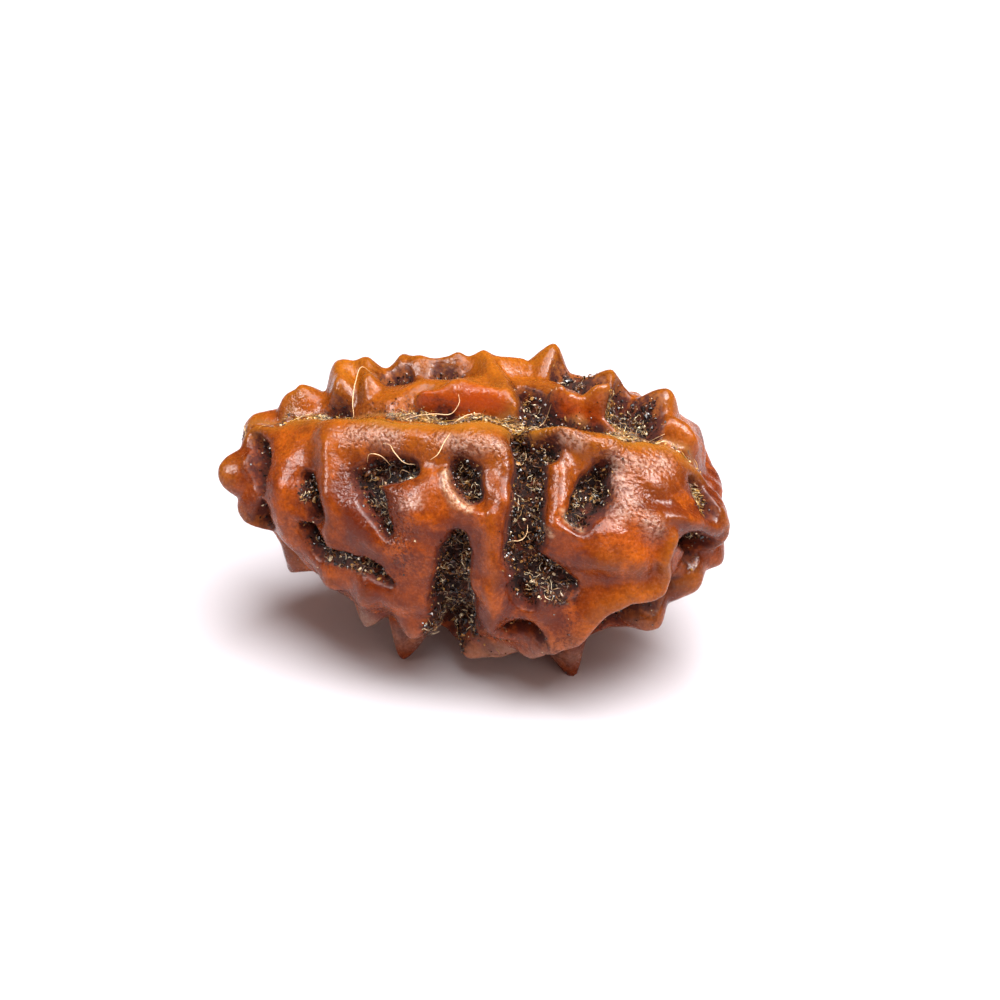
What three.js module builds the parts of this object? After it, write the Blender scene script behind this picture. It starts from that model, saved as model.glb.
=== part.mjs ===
// Rudraksha seed, grown as one piece: an egg along X with three seams from end to end, and between them
// deep pits, ridges and knobs. Millimetres. The blunt end points to +X. It rests on the cut-off tips of
// three low knobs at z = 0.
import * as THREE from 'three'

// Body
const HALF_LENGTH = 9.65
const HALF_GIRTH = 5.45
const TAPER = 0.17 // fuller toward +X
const FULLNESS = -0.06 // slimmer toward both ends
const BEND = 0.75 // height of both ends above the middle
const AXIS_HEIGHT = 6.35 // middle of the egg above the surface that it rests on

// Relief
const WALL = 0.36 // width of a pit's steep wall
const WALL_OUT = 0.04 // how far a wall starts outside the pit's radius
const SHOULDER = 0.3 // how far the skin falls away towards a pit
const SHOULDER_WIDTH = 0.48
const SEAM_DEPTH = 0.34
const SEAM_WIDTH = 0.42
const SEAM_BACK = 4 // degrees from a seam's edge to the bottom of its valley
const RIDGE_REACH = 1.6 // a ridge ends this many half widths from its line
const KNOB_REACH = 1.35 // a knob ends this many radii from its middle
const KNOB_POINT = 0.2 // 0 is a round knob, 1 is a cone
const FAR_ENOUGH = 2.6 // relief further off than this no longer counts
const SWELL = [0.16, 4.2] // height and length of the large waves of the skin
const SMALL_SWELL = [0.06, 1.9]
const WANDER = [0.1, 2.3] // how far, and over what length, outlines wander

// Mesh
const MESH_STEP = 0.335
const ROW_SHARE = 0.87 // rows lie this much closer than the points in a row
const STAGES = 6 // each stage moves mesh points to where the relief is steep, then swaps edges
const SPREAD_ROUNDS = 4
const SPREAD_STEP = 0.35
const SWAP_SHARE = 0.95
const THIN_FACE = 0.2 // neither of two faces is a smaller share of both than this after a swap
const OWN_SHARE = 0.4 // a mesh point is this much its own place, the rest is the mean of six places around it
const FOOT_RADIUS = 0.24 // of the flat tips that it rests on

// Places are [mm along X from the middle, degrees round X, mm of size]. 0 degrees is -Y, 90 is the top.
const SEAM = [
  [-9.6, 70], [-8.6, 86], [-7.4, 84], [-6.3, 78], [-5.2, 72], [-4.0, 68], [-3.2, 66], [-2.5, 64],
  [-1.0, 64], [0.4, 64], [1.4, 65], [2.3, 63], [3.3, 67], [4.2, 71], [5.0, 68], [5.7, 65], [6.6, 70],
  [7.5, 74], [8.5, 74], [9.6, 70],
]

// Pits of the two sides in view: depth, then the line that a pit follows with its radius
const PITS = [
  [0.95, [[-3.9, 36, 0.38], [-3.2, 41, 0.5], [-2.5, 42, 0.5], [-1.95, 43, 0.34]]],
  [0.75, [[-3.5, 32, 0.38], [-3.1, 25, 0.34], [-2.85, 19, 0.24], [-2.65, 13, 0.13]]],
  [0.9, [[0.05, 45, 0.3], [0.35, 41, 0.42], [0.65, 35, 0.3]]],
  [1.1, [[2.2, 61, 0.3], [2.6, 53, 0.46], [2.75, 44, 0.52], [2.8, 35, 0.55], [2.8, 28, 0.57], [2.7, 19, 0.62],
    [2.75, 10, 0.67]]],
  [0.9, [[2.8, 55, 0.4], [3.4, 54, 0.34]]],
  [1.0, [[2.9, 5, 0.72], [3.1, 1, 0.7]]],
  [0.6, [[3.2, 3, 0.7], [3.8, -2, 0.6], [4.4, -5, 0.34]]],
  [0.8, [[2.9, -4, 0.56], [2.8, -10, 0.36]]],
  [1.0, [[5.4, 48, 0.36], [5.2, 41, 0.6], [5.0, 33, 0.65], [4.75, 27, 0.42]]],
  [1.1, [[0.1, 16, 0.22], [0.1, 8, 0.5], [0.0, -3, 0.64], [-0.1, -16, 0.78], [0.0, -28, 0.74],
    [-0.1, -42, 0.64], [-0.5, -52, 0.5], [-0.8, -60, 0.42], [-0.8, -70, 0.4]]],
  [0.85, [[2.1, -29, 0.2], [2.6, -28, 0.3], [3.1, -29, 0.22]]],
  [0.8, [[-6.1, 33, 0.24], [-5.8, 22, 0.36], [-5.7, 12, 0.26]]],
  [0.85, [[-5.9, -1, 0.34], [-5.6, -7, 0.46]]],
  [1.05, [[-8.55, 66, 0.16], [-8.3, 44, 0.34], [-8.1, 18, 0.24]]],
  [0.55, [[-3.5, -6, 0.16], [-3.0, -8, 0.27], [-2.6, -11, 0.18]]],
  [0.22, [[-5.2, -8, 0.14], [-4.4, -6, 0.12], [-3.6, -6, 0.12]]],
  [0.55, [[-8.0, -4, 0.2], [-8.0, -20, 0.28]]],
  [0.45, [[8.75, 56, 0.16], [8.95, 43, 0.26], [9.05, 28, 0.22]]],
  [1.0, [[8.7, 3, 0.3], [9.0, -12, 0.4], [8.9, -26, 0.28]]],
  [0.9, [[7.8, -34, 0.34], [6.8, -34, 0.34], [5.9, -43, 0.42], [5.3, -54, 0.46], [4.8, -64, 0.36]]],
  [0.8, [[6.0, -54, 0.35], [5.9, -64, 0.5]]],
  [0.5, [[-5.75, 78, 0.16], [-5.2, 79, 0.2]]],
  [0.3, [[-1.2, 71.5, 0.1], [-0.85, 71, 0.15]]],
  [0.7, [[1.8, 86, 0.28], [2.3, 82, 0.34], [2.5, 73, 0.52], [3.3, 70, 0.38], [4.2, 69, 0.28],
    [5.0, 71, 0.3]]],
  [0.85, [[5.4, 92, 0.48], [5.8, 84, 0.58], [6.3, 80, 0.54], [6.9, 79, 0.38]]],
  [0.8, [[5.6, 101, 0.4], [6.1, 93, 0.56], [6.6, 87, 0.5]]],
  [0.7, [[3.1, 104, 0.32], [3.7, 100, 0.44], [4.3, 97, 0.36]]],
  [0.6, [[-3.4, 97, 0.36], [-3.0, 97, 0.26]]],
  [0.25, [[-1.6, 98, 0.24], [-1.0, 96, 0.26]]],
]

// Ridges of the sides in view: height (a hollow's is below 0), how far the crest droops, then its line with
// the half width
const RIDGES = [
  [0.7, 0, [[-1.7, 75, 0.34], [-1.2, 77, 0.44], [-0.7, 79, 0.52], [-0.2, 79, 0.52], [0.6, 78, 0.5],
    [1.2, 76, 0.46], [1.7, 72, 0.38]]],
  [0.4, 0, [[-2.0, 84, 0.7], [-1.0, 86, 0.8], [0.0, 84, 0.7]]],
  [0.6, 0, [[0.0, 103, 0.45], [0.6, 93, 0.45], [1.1, 84, 0.45], [1.5, 77, 0.42]]],
  [0.8, 0.12, [[3.0, 79, 0.3], [3.25, 80, 0.34]]],
  [0.4, 0.12, [[3.25, 80, 0.34], [4.5, 81, 0.38]]],
  [1.25, 0.12, [[4.5, 82, 0.36], [4.9, 84, 0.38]]],
  [0.3, 0, [[-5.3, 59, 0.7], [-3.6, 57, 0.8], [-2.0, 57, 0.8], [-0.5, 57, 0.8], [1.0, 57, 0.75]]],
  [0.42, 0, [[3.6, 62, 0.55], [4.3, 62, 0.6], [5.3, 58, 0.6]]],
  [0.35, 0, [[1.5, 26, 0.5], [1.6, 13, 0.5], [1.7, 0, 0.5], [1.6, -16, 0.5], [1.4, -22, 0.4]]],
  [0.35, 0, [[6.0, 34, 0.7], [6.9, 25, 0.7], [7.6, 20, 0.55]]],
  [0.35, 0, [[7.4, 28, 0.4], [8.1, 26, 0.36], [8.8, 18, 0.36], [9.2, 8, 0.4]]],
  [0.6, 0.25, [[3.6, -30, 0.6], [4.4, -28, 0.55], [5.0, -20, 0.6], [5.7, -13, 0.58], [6.5, -10, 0.55],
    [7.2, -13, 0.5], [7.55, -14, 0.48], [7.65, -6, 0.46], [7.6, 5, 0.4], [7.9, 16, 0.36]]],
  [0.6, 0, [[0.2, -60, 0.5], [1.3, -56, 0.55], [2.3, -51, 0.55], [3.1, -42, 0.5], [3.6, -31, 0.5]]],
  [0.75, 0, [[-3.0, 106, 0.55], [-2.0, 103, 0.5], [-1.0, 104, 0.5]]],
  [0.5, 0, [[-1.0, 104, 0.5], [-0.2, 105, 0.5], [0.6, 102, 0.5], [1.5, 106, 0.45]]],
  [0.95, 0, [[-5.3, 106, 0.6], [-5.1, 90, 0.55]]],
  [0.75, 0, [[-4.4, 104, 0.6], [-4.1, 88, 0.5]]],
  [1.0, 0, [[-5.3, 104, 0.6], [-4.3, 103, 0.6]]],
  [0.5, 0, [[-4.2, 105, 0.5], [-3.2, 107, 0.5]]],
  [0.35, 0, [[-3.4, -20, 0.6], [-3.6, -36, 0.55]]],
  [0.25, 0, [[3.6, 55, 0.4], [3.8, 44, 0.4], [3.9, 33, 0.4], [3.8, 24, 0.4]]],
  [0.2, 0, [[1.7, 53, 0.35], [1.9, 41, 0.35], [1.9, 29, 0.35]]],
  [0.22, 0, [[-0.5, 42, 0.26], [-0.2, 35, 0.26], [0.3, 28, 0.28], [1.0, 26, 0.26]]],
  [0.16, 0, [[4.1, 22, 0.26], [4.7, 18, 0.28], [5.3, 21, 0.24]]],
  [0.3, 0, [[-5.2, 52, 0.55], [-5.0, 34, 0.5], [-5.0, 12, 0.5], [-4.8, -2, 0.45]]],
  [0.4, 0, [[7.4, 90, 0.5], [7.8, 90, 0.55], [8.2, 86, 0.55]]],
  [0.45, 0, [[9.1, 36, 0.5], [9.4, 5, 0.5], [9.3, -25, 0.5]]],
  [-0.6, 0, [[8.7, 130, 0.6], [9.2, 119, 0.75], [9.2, 102, 0.8], [9.3, 88, 0.6]]],
  [0.4, 0, [[5.6, 10, 1.1], [6.7, 4, 1.0]]],
]

// The three knobs that it rests on: place, then height and radius
const FEET = [
  [[3.75, -76], 1.6, 0.85],
  [[-2.4, -75], 1.7, 0.85],
  [[0.9, -122], 1.7, 1.0],
]

// Knobs of the sides in view
const KNOBS = [
  ...FEET,
  [[2.4, 110], 1.25, 0.78],
  [[-3.0, 110], 0.7, 0.8],
  [[4.8, 106], 0.75, 0.95],
  [[6.85, 101], 0.95, 0.8],
  [[-7.25, 97], 0.6, 0.75],
  [[-6.75, 99], 0.7, 0.7],
  [[-8.8, 92], 0.8, 1.15],
  [[-9.3, 22], 0.7, 0.95],
  [[-8.7, 42], 0.45, 0.8],
  [[-8.5, -28], 0.75, 0.95],
  [[9.4, 20], 0.4, 1.0],
  [[9.2, -60], 0.4, 1.0],
  [[8.6, -46], 0.65, 0.95],
  [[7.25, -46.5], 0.8, 0.68],
  [[6.9, -48.5], 0.6, 0.6],
  [[-3.6, -49], 0.95, 0.72],
  [[-1.7, -38], 0.55, 0.75],
  [[-5.0, -24], 0.4, 0.9],
  [[4.9, 85], 0.2, 0.5],
]

// The sides that face away carry the same kinds of relief, laid out by a rule with seeded draws
const DRAW_SEED = 7
const HIDDEN_PITS = { count: 44, tries: 900, from: 112, to: 306, apart: 1.9, gap: 0.45 }
const HIDDEN_KNOBS = { count: 52, tries: 1500, from: 140, to: 292, apart: 1.5, gap: 0.5, seamGap: 0.7 }
const BLUNT_END_BARE = 1.5 // for each mm toward the blunt end, knobs start this many degrees further back
const HIDDEN_RIDGE = { height: 0.4, halfWidth: 0.5, longest: 2.9 }
const LOW_SIDE = -4.6 // knobs below this height from the axis are half as tall

const SKIN = { color: 0xb5561f, roughness: 0.45, metalness: 0 }

const radians = (degrees) => (degrees * Math.PI) / 180
const clamp01 = (t) => Math.min(1, Math.max(0, t))
const smooth = (t) => clamp01(t) ** 2 * (3 - 2 * clamp01(t))
const distance = (a, b) => Math.hypot(a[0] - b[0], a[1] - b[1], a[2] - b[2])

// A point of the bare egg, from a unit direction, with its middle at the origin
function eggPoint([ux, uy, uz]) {
  const girth = HALF_GIRTH * (1 + TAPER * ux + FULLNESS * ux * ux)
  return [HALF_LENGTH * ux, girth * uy, girth * uz + BEND * ux * ux]
}

function eggNormal([ux, uy, uz]) {
  const n = [ux / HALF_LENGTH, uy / HALF_GIRTH, uz / HALF_GIRTH]
  const size = Math.hypot(...n)
  return n.map((v) => v / size)
}

function place(x, degrees) {
  const ux = Math.max(-1, Math.min(1, x / HALF_LENGTH))
  const ring = Math.sqrt(1 - ux * ux)
  return eggPoint([ux, -ring * Math.cos(radians(degrees)), ring * Math.sin(radians(degrees))])
}

// Smooth variation from about -1 to 1
function wave(p, length, kind) {
  let total = 0
  for (let i = 0; i < 5; i += 1) {
    const a = kind * 1.7 + i * 2.399
    const b = kind * 0.9 + i * 1.31
    const along = p[0] * Math.cos(a) * Math.sin(b) + p[1] * Math.sin(a) * Math.sin(b) + p[2] * Math.cos(b)
    total += Math.sin(((2 * Math.PI) / length) * (1 + 0.17 * i) * along + kind + 3.1 * i)
  }
  return total / 3
}

// The nearest place of p on the straight line from a to b: its share of the way, and how far it is
function nearestOnLine(p, a, b) {
  const d = [b.at[0] - a.at[0], b.at[1] - a.at[1], b.at[2] - a.at[2]]
  const length2 = d[0] * d[0] + d[1] * d[1] + d[2] * d[2]
  const dot = (p[0] - a.at[0]) * d[0] + (p[1] - a.at[1]) * d[1] + (p[2] - a.at[2]) * d[2]
  const t = clamp01(dot / length2)
  const nearest = [0, 1, 2].map((k) => a.at[k] + t * d[k])
  return { t, far: distance(p, nearest) }
}

// How far p is outside a line with a radius; inside it is below 0
function outside(p, line) {
  if (line.length === 1) {
    return distance(p, line[0].at) - line[0].size
  }
  let best = Infinity
  for (let i = 1; i < line.length; i += 1) {
    const { t, far } = nearestOnLine(p, line[i - 1], line[i])
    best = Math.min(best, far - line[i - 1].size - t * (line[i].size - line[i - 1].size))
  }
  return best
}

// 1 on a ridge's line, falling to 0 beside it
function crest(p, line) {
  let best = 0
  for (let i = 1; i < line.length; i += 1) {
    const { t, far } = nearestOnLine(p, line[i - 1], line[i])
    const halfWidth = line[i - 1].size + t * (line[i].size - line[i - 1].size)
    best = Math.max(best, 1 - far / halfWidth / RIDGE_REACH)
  }
  return smooth(best)
}

const laid = (line) => line.map(([x, degrees, size = 0]) => ({ at: place(x, degrees), size }))

// A laid line with the ball that holds it, so that far lines can be passed over
function bounded(line) {
  const middle = [0, 1, 2].map((i) => line.reduce((sum, q) => sum + q.at[i], 0) / line.length)
  const reach = Math.max(...line.map((q) => distance(q.at, middle) + q.size))
  return { line, middle, reach }
}

const isNear = (p, item) => distance(p, item.middle) < item.reach + FAR_ENOUGH

// The seam in view, and the two others a third of a turn on, which run end for end
function seamLines(turnedBack) {
  const lines = [SEAM]
  for (const third of [1, 2]) {
    lines.push(SEAM.map(([x, degrees]) => [-x, degrees + third * 120]).reverse())
  }
  return lines.map((line) => laid(line.map(([x, degrees]) => [x, degrees + turnedBack])))
}

// Seeded draws
function makeDraw(seed) {
  let state = seed
  return (low, high) => {
    state = (state * 16807) % 2147483647
    return low + ((high - low) * state) / 2147483647
  }
}

function hiddenPits(draw, taken) {
  const pits = []
  const middles = []
  for (let i = 0; i < HIDDEN_PITS.tries && pits.length < HIDDEN_PITS.count; i += 1) {
    const x = draw(-8.8, 8.8)
    const degrees = draw(HIDDEN_PITS.from, HIDDEN_PITS.to)
    const turn = draw(-0.6, 0.6)
    const size = draw(0.3, 0.55)
    const depth = draw(0.7, 1)
    const middle = place(x, degrees)
    const crowded = taken.some((q) => distance(middle, q.at) < q.size + size + HIDDEN_PITS.gap)
    if (crowded || middles.some((q) => distance(middle, q) < HIDDEN_PITS.apart)) {
      continue
    }
    const ring = HALF_GIRTH * Math.sqrt(Math.max(0.05, 1 - (x / HALF_LENGTH) ** 2))
    const dx = size * 1.3 * Math.sin(turn)
    const dt = ((size * 1.3 * Math.cos(turn)) / ring) * (180 / Math.PI)
    const line = [[x - dx, degrees - dt, size * 0.7], [x, degrees, size], [x + dx, degrees + dt, size * 0.75]]
    pits.push([depth, line])
    middles.push(middle)
    taken.push(...laid(line))
  }
  return pits
}

function hiddenKnobs(draw, taken, seams) {
  const knobs = []
  for (let i = 0; i < HIDDEN_KNOBS.tries && knobs.length < HIDDEN_KNOBS.count; i += 1) {
    const x = draw(-8.2, 8.2)
    const degrees = draw(HIDDEN_KNOBS.from, HIDDEN_KNOBS.to)
    const height = draw(0.45, 0.95)
    const radius = draw(0.75, 1)
    const middle = place(x, degrees)
    const bare = BLUNT_END_BARE * Math.max(0, x)
    if (degrees < HIDDEN_KNOBS.from + bare || degrees > HIDDEN_KNOBS.to - bare) {
      continue
    }
    const crowded = taken.some((q) => distance(middle, q.at) < q.size + HIDDEN_KNOBS.gap)
    const tooNear = knobs.some((k) => distance(middle, place(...k[0])) < HIDDEN_KNOBS.apart)
    if (crowded || tooNear || seams.some((q) => distance(middle, q.at) < HIDDEN_KNOBS.seamGap)) {
      continue
    }
    knobs.push([[x, degrees], middle[2] < LOW_SIDE ? height / 2 : height, radius])
  }
  return knobs
}

// Each hidden knob is joined by ridges to its two nearest neighbours
function hiddenRidges(knobs) {
  const ridges = []
  for (const knob of knobs) {
    const others = knobs.filter((k) => k !== knob)
    const far = (k) => distance(place(...k[0]), place(...knob[0]))
    others.sort((a, b) => far(a) - far(b))
    for (const other of others.slice(0, 2)) {
      if (far(other) < HIDDEN_RIDGE.longest) {
        const line = [knob, other].map((k) => [...k[0], HIDDEN_RIDGE.halfWidth])
        ridges.push([HIDDEN_RIDGE.height, 0, line])
      }
    }
  }
  return ridges
}

function allRelief() {
  const draw = makeDraw(DRAW_SEED)
  const seams = seamLines(0)
  const taken = [
    ...PITS.flatMap(([, line]) => laid(line)),
    ...KNOBS.map(([at, , radius]) => ({ at: place(...at), size: 0.7 * radius })),
    ...RIDGES.flatMap(([, , line]) => laid(line.map(([x, degrees, w]) => [x, degrees, 0.6 * w]))),
  ]
  const pits = [...PITS, ...hiddenPits(draw, taken)]
  const backKnobs = hiddenKnobs(draw, taken, seams.flat())
  const ridges = [...RIDGES, ...hiddenRidges(backKnobs)]
  const knobs = [...KNOBS, ...backKnobs]
  return {
    pits: pits.map(([depth, line]) => ({ depth, ...bounded(laid(line)) })),
    ridges: ridges.map(([height, droop, line]) => ({ height, droop, ...bounded(laid(line)) })),
    knobs: knobs.map(([at, height, radius]) => ({ height, radius, at: place(...at) })),
    valleys: seamLines(SEAM_BACK),
  }
}

// Depth of the pits at p, how much of p is pit, and how far the nearest pit's edge is
function pitsAt(p, pits) {
  let depth = 0
  let edge = Infinity
  for (const pit of pits.filter((item) => isNear(p, item))) {
    const far = outside(p, pit.line)
    edge = Math.min(edge, far)
    depth = Math.max(depth, pit.depth * smooth(0.5 - (far - WALL_OUT) / WALL))
  }
  return { depth, edge, share: smooth(0.5 - (edge - WALL_OUT) / WALL) }
}

// Height of ridges and knobs at p, joined softly, and how far it droops
function riseAt(p, relief) {
  let cubes = 0
  let droop = 0
  for (const ridge of relief.ridges.filter((item) => isNear(p, item))) {
    const c = crest(p, ridge.line)
    cubes += (ridge.height * c) ** 3
    droop += ridge.droop * c
  }
  for (const knob of relief.knobs) {
    const c = clamp01(1 - distance(p, knob.at) / (KNOB_REACH * knob.radius))
    cubes += (knob.height * ((1 - KNOB_POINT) * smooth(c) + KNOB_POINT * c)) ** 3
  }
  return { rise: Math.cbrt(cubes), droop }
}

// A point of the seed's surface, from a unit direction
function seedPoint(u, relief) {
  const p = eggPoint(u)
  const n = eggNormal(u)
  const q = p.map((v, i) => v + WANDER[0] * wave(p, WANDER[1], i + 1))
  const pit = pitsAt(q, relief.pits)
  const { rise, droop } = riseAt(q, relief)
  const valley = Math.min(...relief.valleys.map((line) => outside(q, line)))
  const swell = SWELL[0] * wave(p, SWELL[1], 5) + SMALL_SWELL[0] * wave(p, SMALL_SWELL[1], 6)
  const fall = SHOULDER * Math.exp(-Math.max(pit.edge, 0) / SHOULDER_WIDTH)
  const seam = SEAM_DEPTH * Math.exp(-((valley / SEAM_WIDTH) ** 2))
  const height = swell - fall - seam + rise * (1 - 0.9 * pit.share) - pit.depth
  const z = p[2] + n[2] * height - droop * (1 - pit.share) + AXIS_HEIGHT
  return [p[0] + n[0] * height, p[1] + n[1] * height, z]
}

// Rings of directions along the egg, evenly spaced, each with as many points as its girth holds
function ringsOfDirections() {
  const fine = 2000
  const meridian = Array.from({ length: fine + 1 }, (_, i) => {
    const turn = (Math.PI * i) / fine
    return [-Math.cos(turn), -Math.sin(turn), 0]
  })
  const travelled = [0]
  for (let i = 1; i <= fine; i += 1) {
    travelled.push(travelled[i - 1] + distance(eggPoint(meridian[i - 1]), eggPoint(meridian[i])))
  }
  const rows = Math.round(travelled[fine] / (MESH_STEP * ROW_SHARE))
  const rings = []
  for (let row = 0; row <= rows; row += 1) {
    const u = meridian[travelled.findIndex((s) => s >= (travelled[fine] * row) / rows - 1e-9)]
    const girth = Math.abs(eggPoint(u)[1])
    const count = row % rows === 0 ? 1 : Math.max(6, Math.round((2 * Math.PI * girth) / MESH_STEP))
    const start = row % 2 === 0 ? 0 : 0.5 / count
    rings.push(Array.from({ length: count }, (_, i) => {
      const turn = 2 * Math.PI * (start + i / count)
      return { turn: start + i / count, at: [u[0], u[1] * Math.cos(turn), -u[1] * Math.sin(turn)] }
    }))
  }
  return rings
}

// Triangles between neighbouring rings, going round whichever ring is behind
function stitch(rings) {
  const faces = []
  let low = 0
  for (let row = 1; row < rings.length; row += 1) {
    const [a, b] = [rings[row - 1], rings[row]]
    const high = low + a.length
    let i = 0
    let j = 0
    while (i < a.length || j < b.length) {
      const nextA = a.length === 1 ? Infinity : a[0].turn + (i + 1) / a.length
      const nextB = b.length === 1 ? Infinity : b[0].turn + (j + 1) / b.length
      const here = low + (i % a.length)
      const there = high + (j % b.length)
      if (j >= b.length || (i < a.length && nextA <= nextB)) {
        i += 1
        if (a.length > 1) {
          faces.push([here, there, low + (i % a.length)])
        }
      } else {
        j += 1
        if (b.length > 1) {
          faces.push([here, there, high + (j % b.length)])
        }
      }
    }
    low = high
  }
  return faces
}

function neighbourLists(faces, count) {
  const near = Array.from({ length: count }, () => new Set())
  for (const face of faces) {
    face.forEach((a, k) => {
      near[a].add(face[(k + 1) % 3])
      near[face[(k + 1) % 3]].add(a)
    })
  }
  return near.map((set) => [...set])
}

const toUnit = (v) => {
  const size = Math.hypot(...v)
  return v.map((w) => w / size)
}

// One round: each direction moves toward its neighbours' mean, weighted by how far away they lie
function spread(directions, faces, relief) {
  const near = neighbourLists(faces, directions.length)
  const points = directions.map((u) => seedPoint(u, relief))
  return directions.map((u, i) => {
    const sum = [0, 0, 0]
    let weights = 0
    for (const j of near[i]) {
      const weight = distance(points[i], points[j])
      weights += weight
      for (let k = 0; k < 3; k += 1) {
        sum[k] += weight * directions[j][k]
      }
    }
    return toUnit(u.map((v, k) => (1 - SPREAD_STEP) * v + (SPREAD_STEP * sum[k]) / weights))
  })
}

function faceNormal(points, [a, b, c]) {
  const e = points[b].map((v, k) => v - points[a][k])
  const f = points[c].map((v, k) => v - points[a][k])
  return [e[1] * f[2] - e[2] * f[1], e[2] * f[0] - e[0] * f[2], e[0] * f[1] - e[1] * f[0]]
}

const dot = (a, b) => a[0] * b[0] + a[1] * b[1] + a[2] * b[2]

// One round: two faces swap their shared edge for the other diagonal where that is shorter, so that edges
// come to run along the walls
function swapEdges(points, faces, directions) {
  const key = (a, b) => (a < b ? a * points.length + b : b * points.length + a)
  const owners = new Map()
  faces.forEach((face, f) => face.forEach((a, k) => {
    const edge = key(a, face[(k + 1) % 3])
    owners.set(edge, [...(owners.get(edge) ?? []), f])
  }))
  const changed = new Set()
  for (const [f, g] of owners.values()) {
    if (changed.has(f) || changed.has(g)) {
      continue
    }
    const k = faces[f].findIndex((v, i) => faces[g].includes(v) && faces[g].includes(faces[f][(i + 1) % 3]))
    const [from, to, c] = [0, 1, 2].map((i) => faces[f][(k + i) % 3])
    const d = faces[g].find((v) => v !== from && v !== to)
    const shorter = distance(points[c], points[d]) < SWAP_SHARE * distance(points[from], points[to])
    if (!shorter || owners.has(key(c, d))) {
      continue
    }
    const after = [[from, d, c], [d, to, c]]
    const spans = after.map((face) => dot(faceNormal(directions, face), directions[c]))
    const sizes = after.map((face) => Math.hypot(...faceNormal(points, face)))
    const even = (values) => Math.min(...values) > THIN_FACE * Math.max(...values)
    if (even(spans) && even(sizes)) {
      faces[f] = after[0]
      faces[g] = after[1]
      owners.set(key(c, d), [f, g])
      changed.add(f)
      changed.add(g)
    }
  }
}

// A mesh point: the mean of the surface at its own direction and halfway to its neighbours
function meshPoint(u, others, relief) {
  const own = seedPoint(u, relief)
  const around = others.map((v) => seedPoint(toUnit(u.map((w, k) => w + v[k])), relief))
  return own.map((v, k) => {
    const mean = around.reduce((sum, p) => sum + p[k], 0) / around.length
    return OWN_SHARE * v + (1 - OWN_SHARE) * mean
  })
}

// A small flat at the tip of each foot, at z = 0
function cutFeet(points, near) {
  for (const [[x, degrees]] of FEET) {
    const tip = place(x, degrees)
    const off = (p) => Math.hypot(p[0] - tip[0], p[1] - tip[1]) + Math.max(0, p[2] - 1)
    const nearest = points.reduce((best, p, i) => (off(p) < off(points[best]) ? i : best), 0)
    const angle = (j) => Math.atan2(points[j][1] - points[nearest][1], points[j][0] - points[nearest][0])
    const around = near[nearest].toSorted((a, b) => angle(a) - angle(b))
    const first = angle(around[0])
    around.forEach((j, i) => {
      const turn = first + (2 * Math.PI * i) / around.length
      points[j] = [tip[0] + FOOT_RADIUS * Math.cos(turn), tip[1] + FOOT_RADIUS * Math.sin(turn), 0]
    })
    points[nearest] = [tip[0], tip[1], 0]
  }
}

function seedGeometry() {
  const relief = allRelief()
  const rings = ringsOfDirections()
  const faces = stitch(rings)
  let directions = rings.flat().map((q) => q.at)
  for (let stage = 0; stage < STAGES; stage += 1) {
    for (let round = 0; round < SPREAD_ROUNDS; round += 1) {
      directions = spread(directions, faces, relief)
    }
    swapEdges(directions.map((u) => seedPoint(u, relief)), faces, directions)
  }
  const near = neighbourLists(faces, directions.length)
  const points = directions.map((u, i) => meshPoint(u, near[i].map((j) => directions[j]), relief))
  swapEdges(points, faces, directions)
  cutFeet(points, neighbourLists(faces, points.length))
  const geometry = new THREE.BufferGeometry()
  const floats = points.flatMap(([x, y, z]) => [x, y, Math.max(0, z)])
  geometry.setAttribute('position', new THREE.Float32BufferAttribute(floats, 3))
  geometry.setIndex(faces.flat())
  return geometry
}

// The seed stands with the middle of its outline over the origin
function centre(geometry) {
  geometry.computeBoundingBox()
  const middle = geometry.boundingBox.getCenter(new THREE.Vector3())
  geometry.translate(-middle.x, -middle.y, 0)
  geometry.computeVertexNormals()
  return geometry
}

function seed() {
  const mesh = new THREE.Mesh(centre(seedGeometry()), new THREE.MeshStandardMaterial(SKIN))
  mesh.name = 'seed'
  return mesh
}

const part = new THREE.Group()
part.name = 'rudraksha_seed'
part.add(seed())

export default part
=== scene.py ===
"""A dried rudraksha seed, about 20 mm long: one grown stone with seams, deep pits, ridges and knobs.

Sizes are in millimetres until a mesh is made. The blunt end points to +X and the top is +Z.
"""
import math

import bmesh
import bpy
import numpy as np
from mathutils import Matrix, Vector, noise


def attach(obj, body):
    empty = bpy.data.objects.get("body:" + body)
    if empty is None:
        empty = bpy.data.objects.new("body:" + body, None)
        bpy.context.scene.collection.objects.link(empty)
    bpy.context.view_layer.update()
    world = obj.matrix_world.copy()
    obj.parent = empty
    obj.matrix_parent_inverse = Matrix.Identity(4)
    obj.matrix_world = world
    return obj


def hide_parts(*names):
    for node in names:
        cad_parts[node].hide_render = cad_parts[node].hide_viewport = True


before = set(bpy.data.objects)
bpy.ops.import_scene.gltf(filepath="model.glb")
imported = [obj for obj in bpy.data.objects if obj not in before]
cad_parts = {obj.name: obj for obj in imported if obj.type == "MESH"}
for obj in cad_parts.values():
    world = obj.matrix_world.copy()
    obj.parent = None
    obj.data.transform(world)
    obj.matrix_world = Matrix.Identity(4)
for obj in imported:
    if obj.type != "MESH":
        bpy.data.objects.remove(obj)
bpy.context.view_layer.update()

MM = 0.001

# From the middle of the egg to the middle of the seed's outline seen from above
OUTLINE_MIDDLE = (-0.0215, 0.2021)

# Camera
CAMERA_AZIMUTH = 10
CAMERA_ELEVATION = 30
CAMERA_DISTANCE = 108
LENS = 100
SENSOR = 36
PICTURE_PIXELS = 1000
EGG_MIDDLE_PIXEL = (477, 504)

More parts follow.
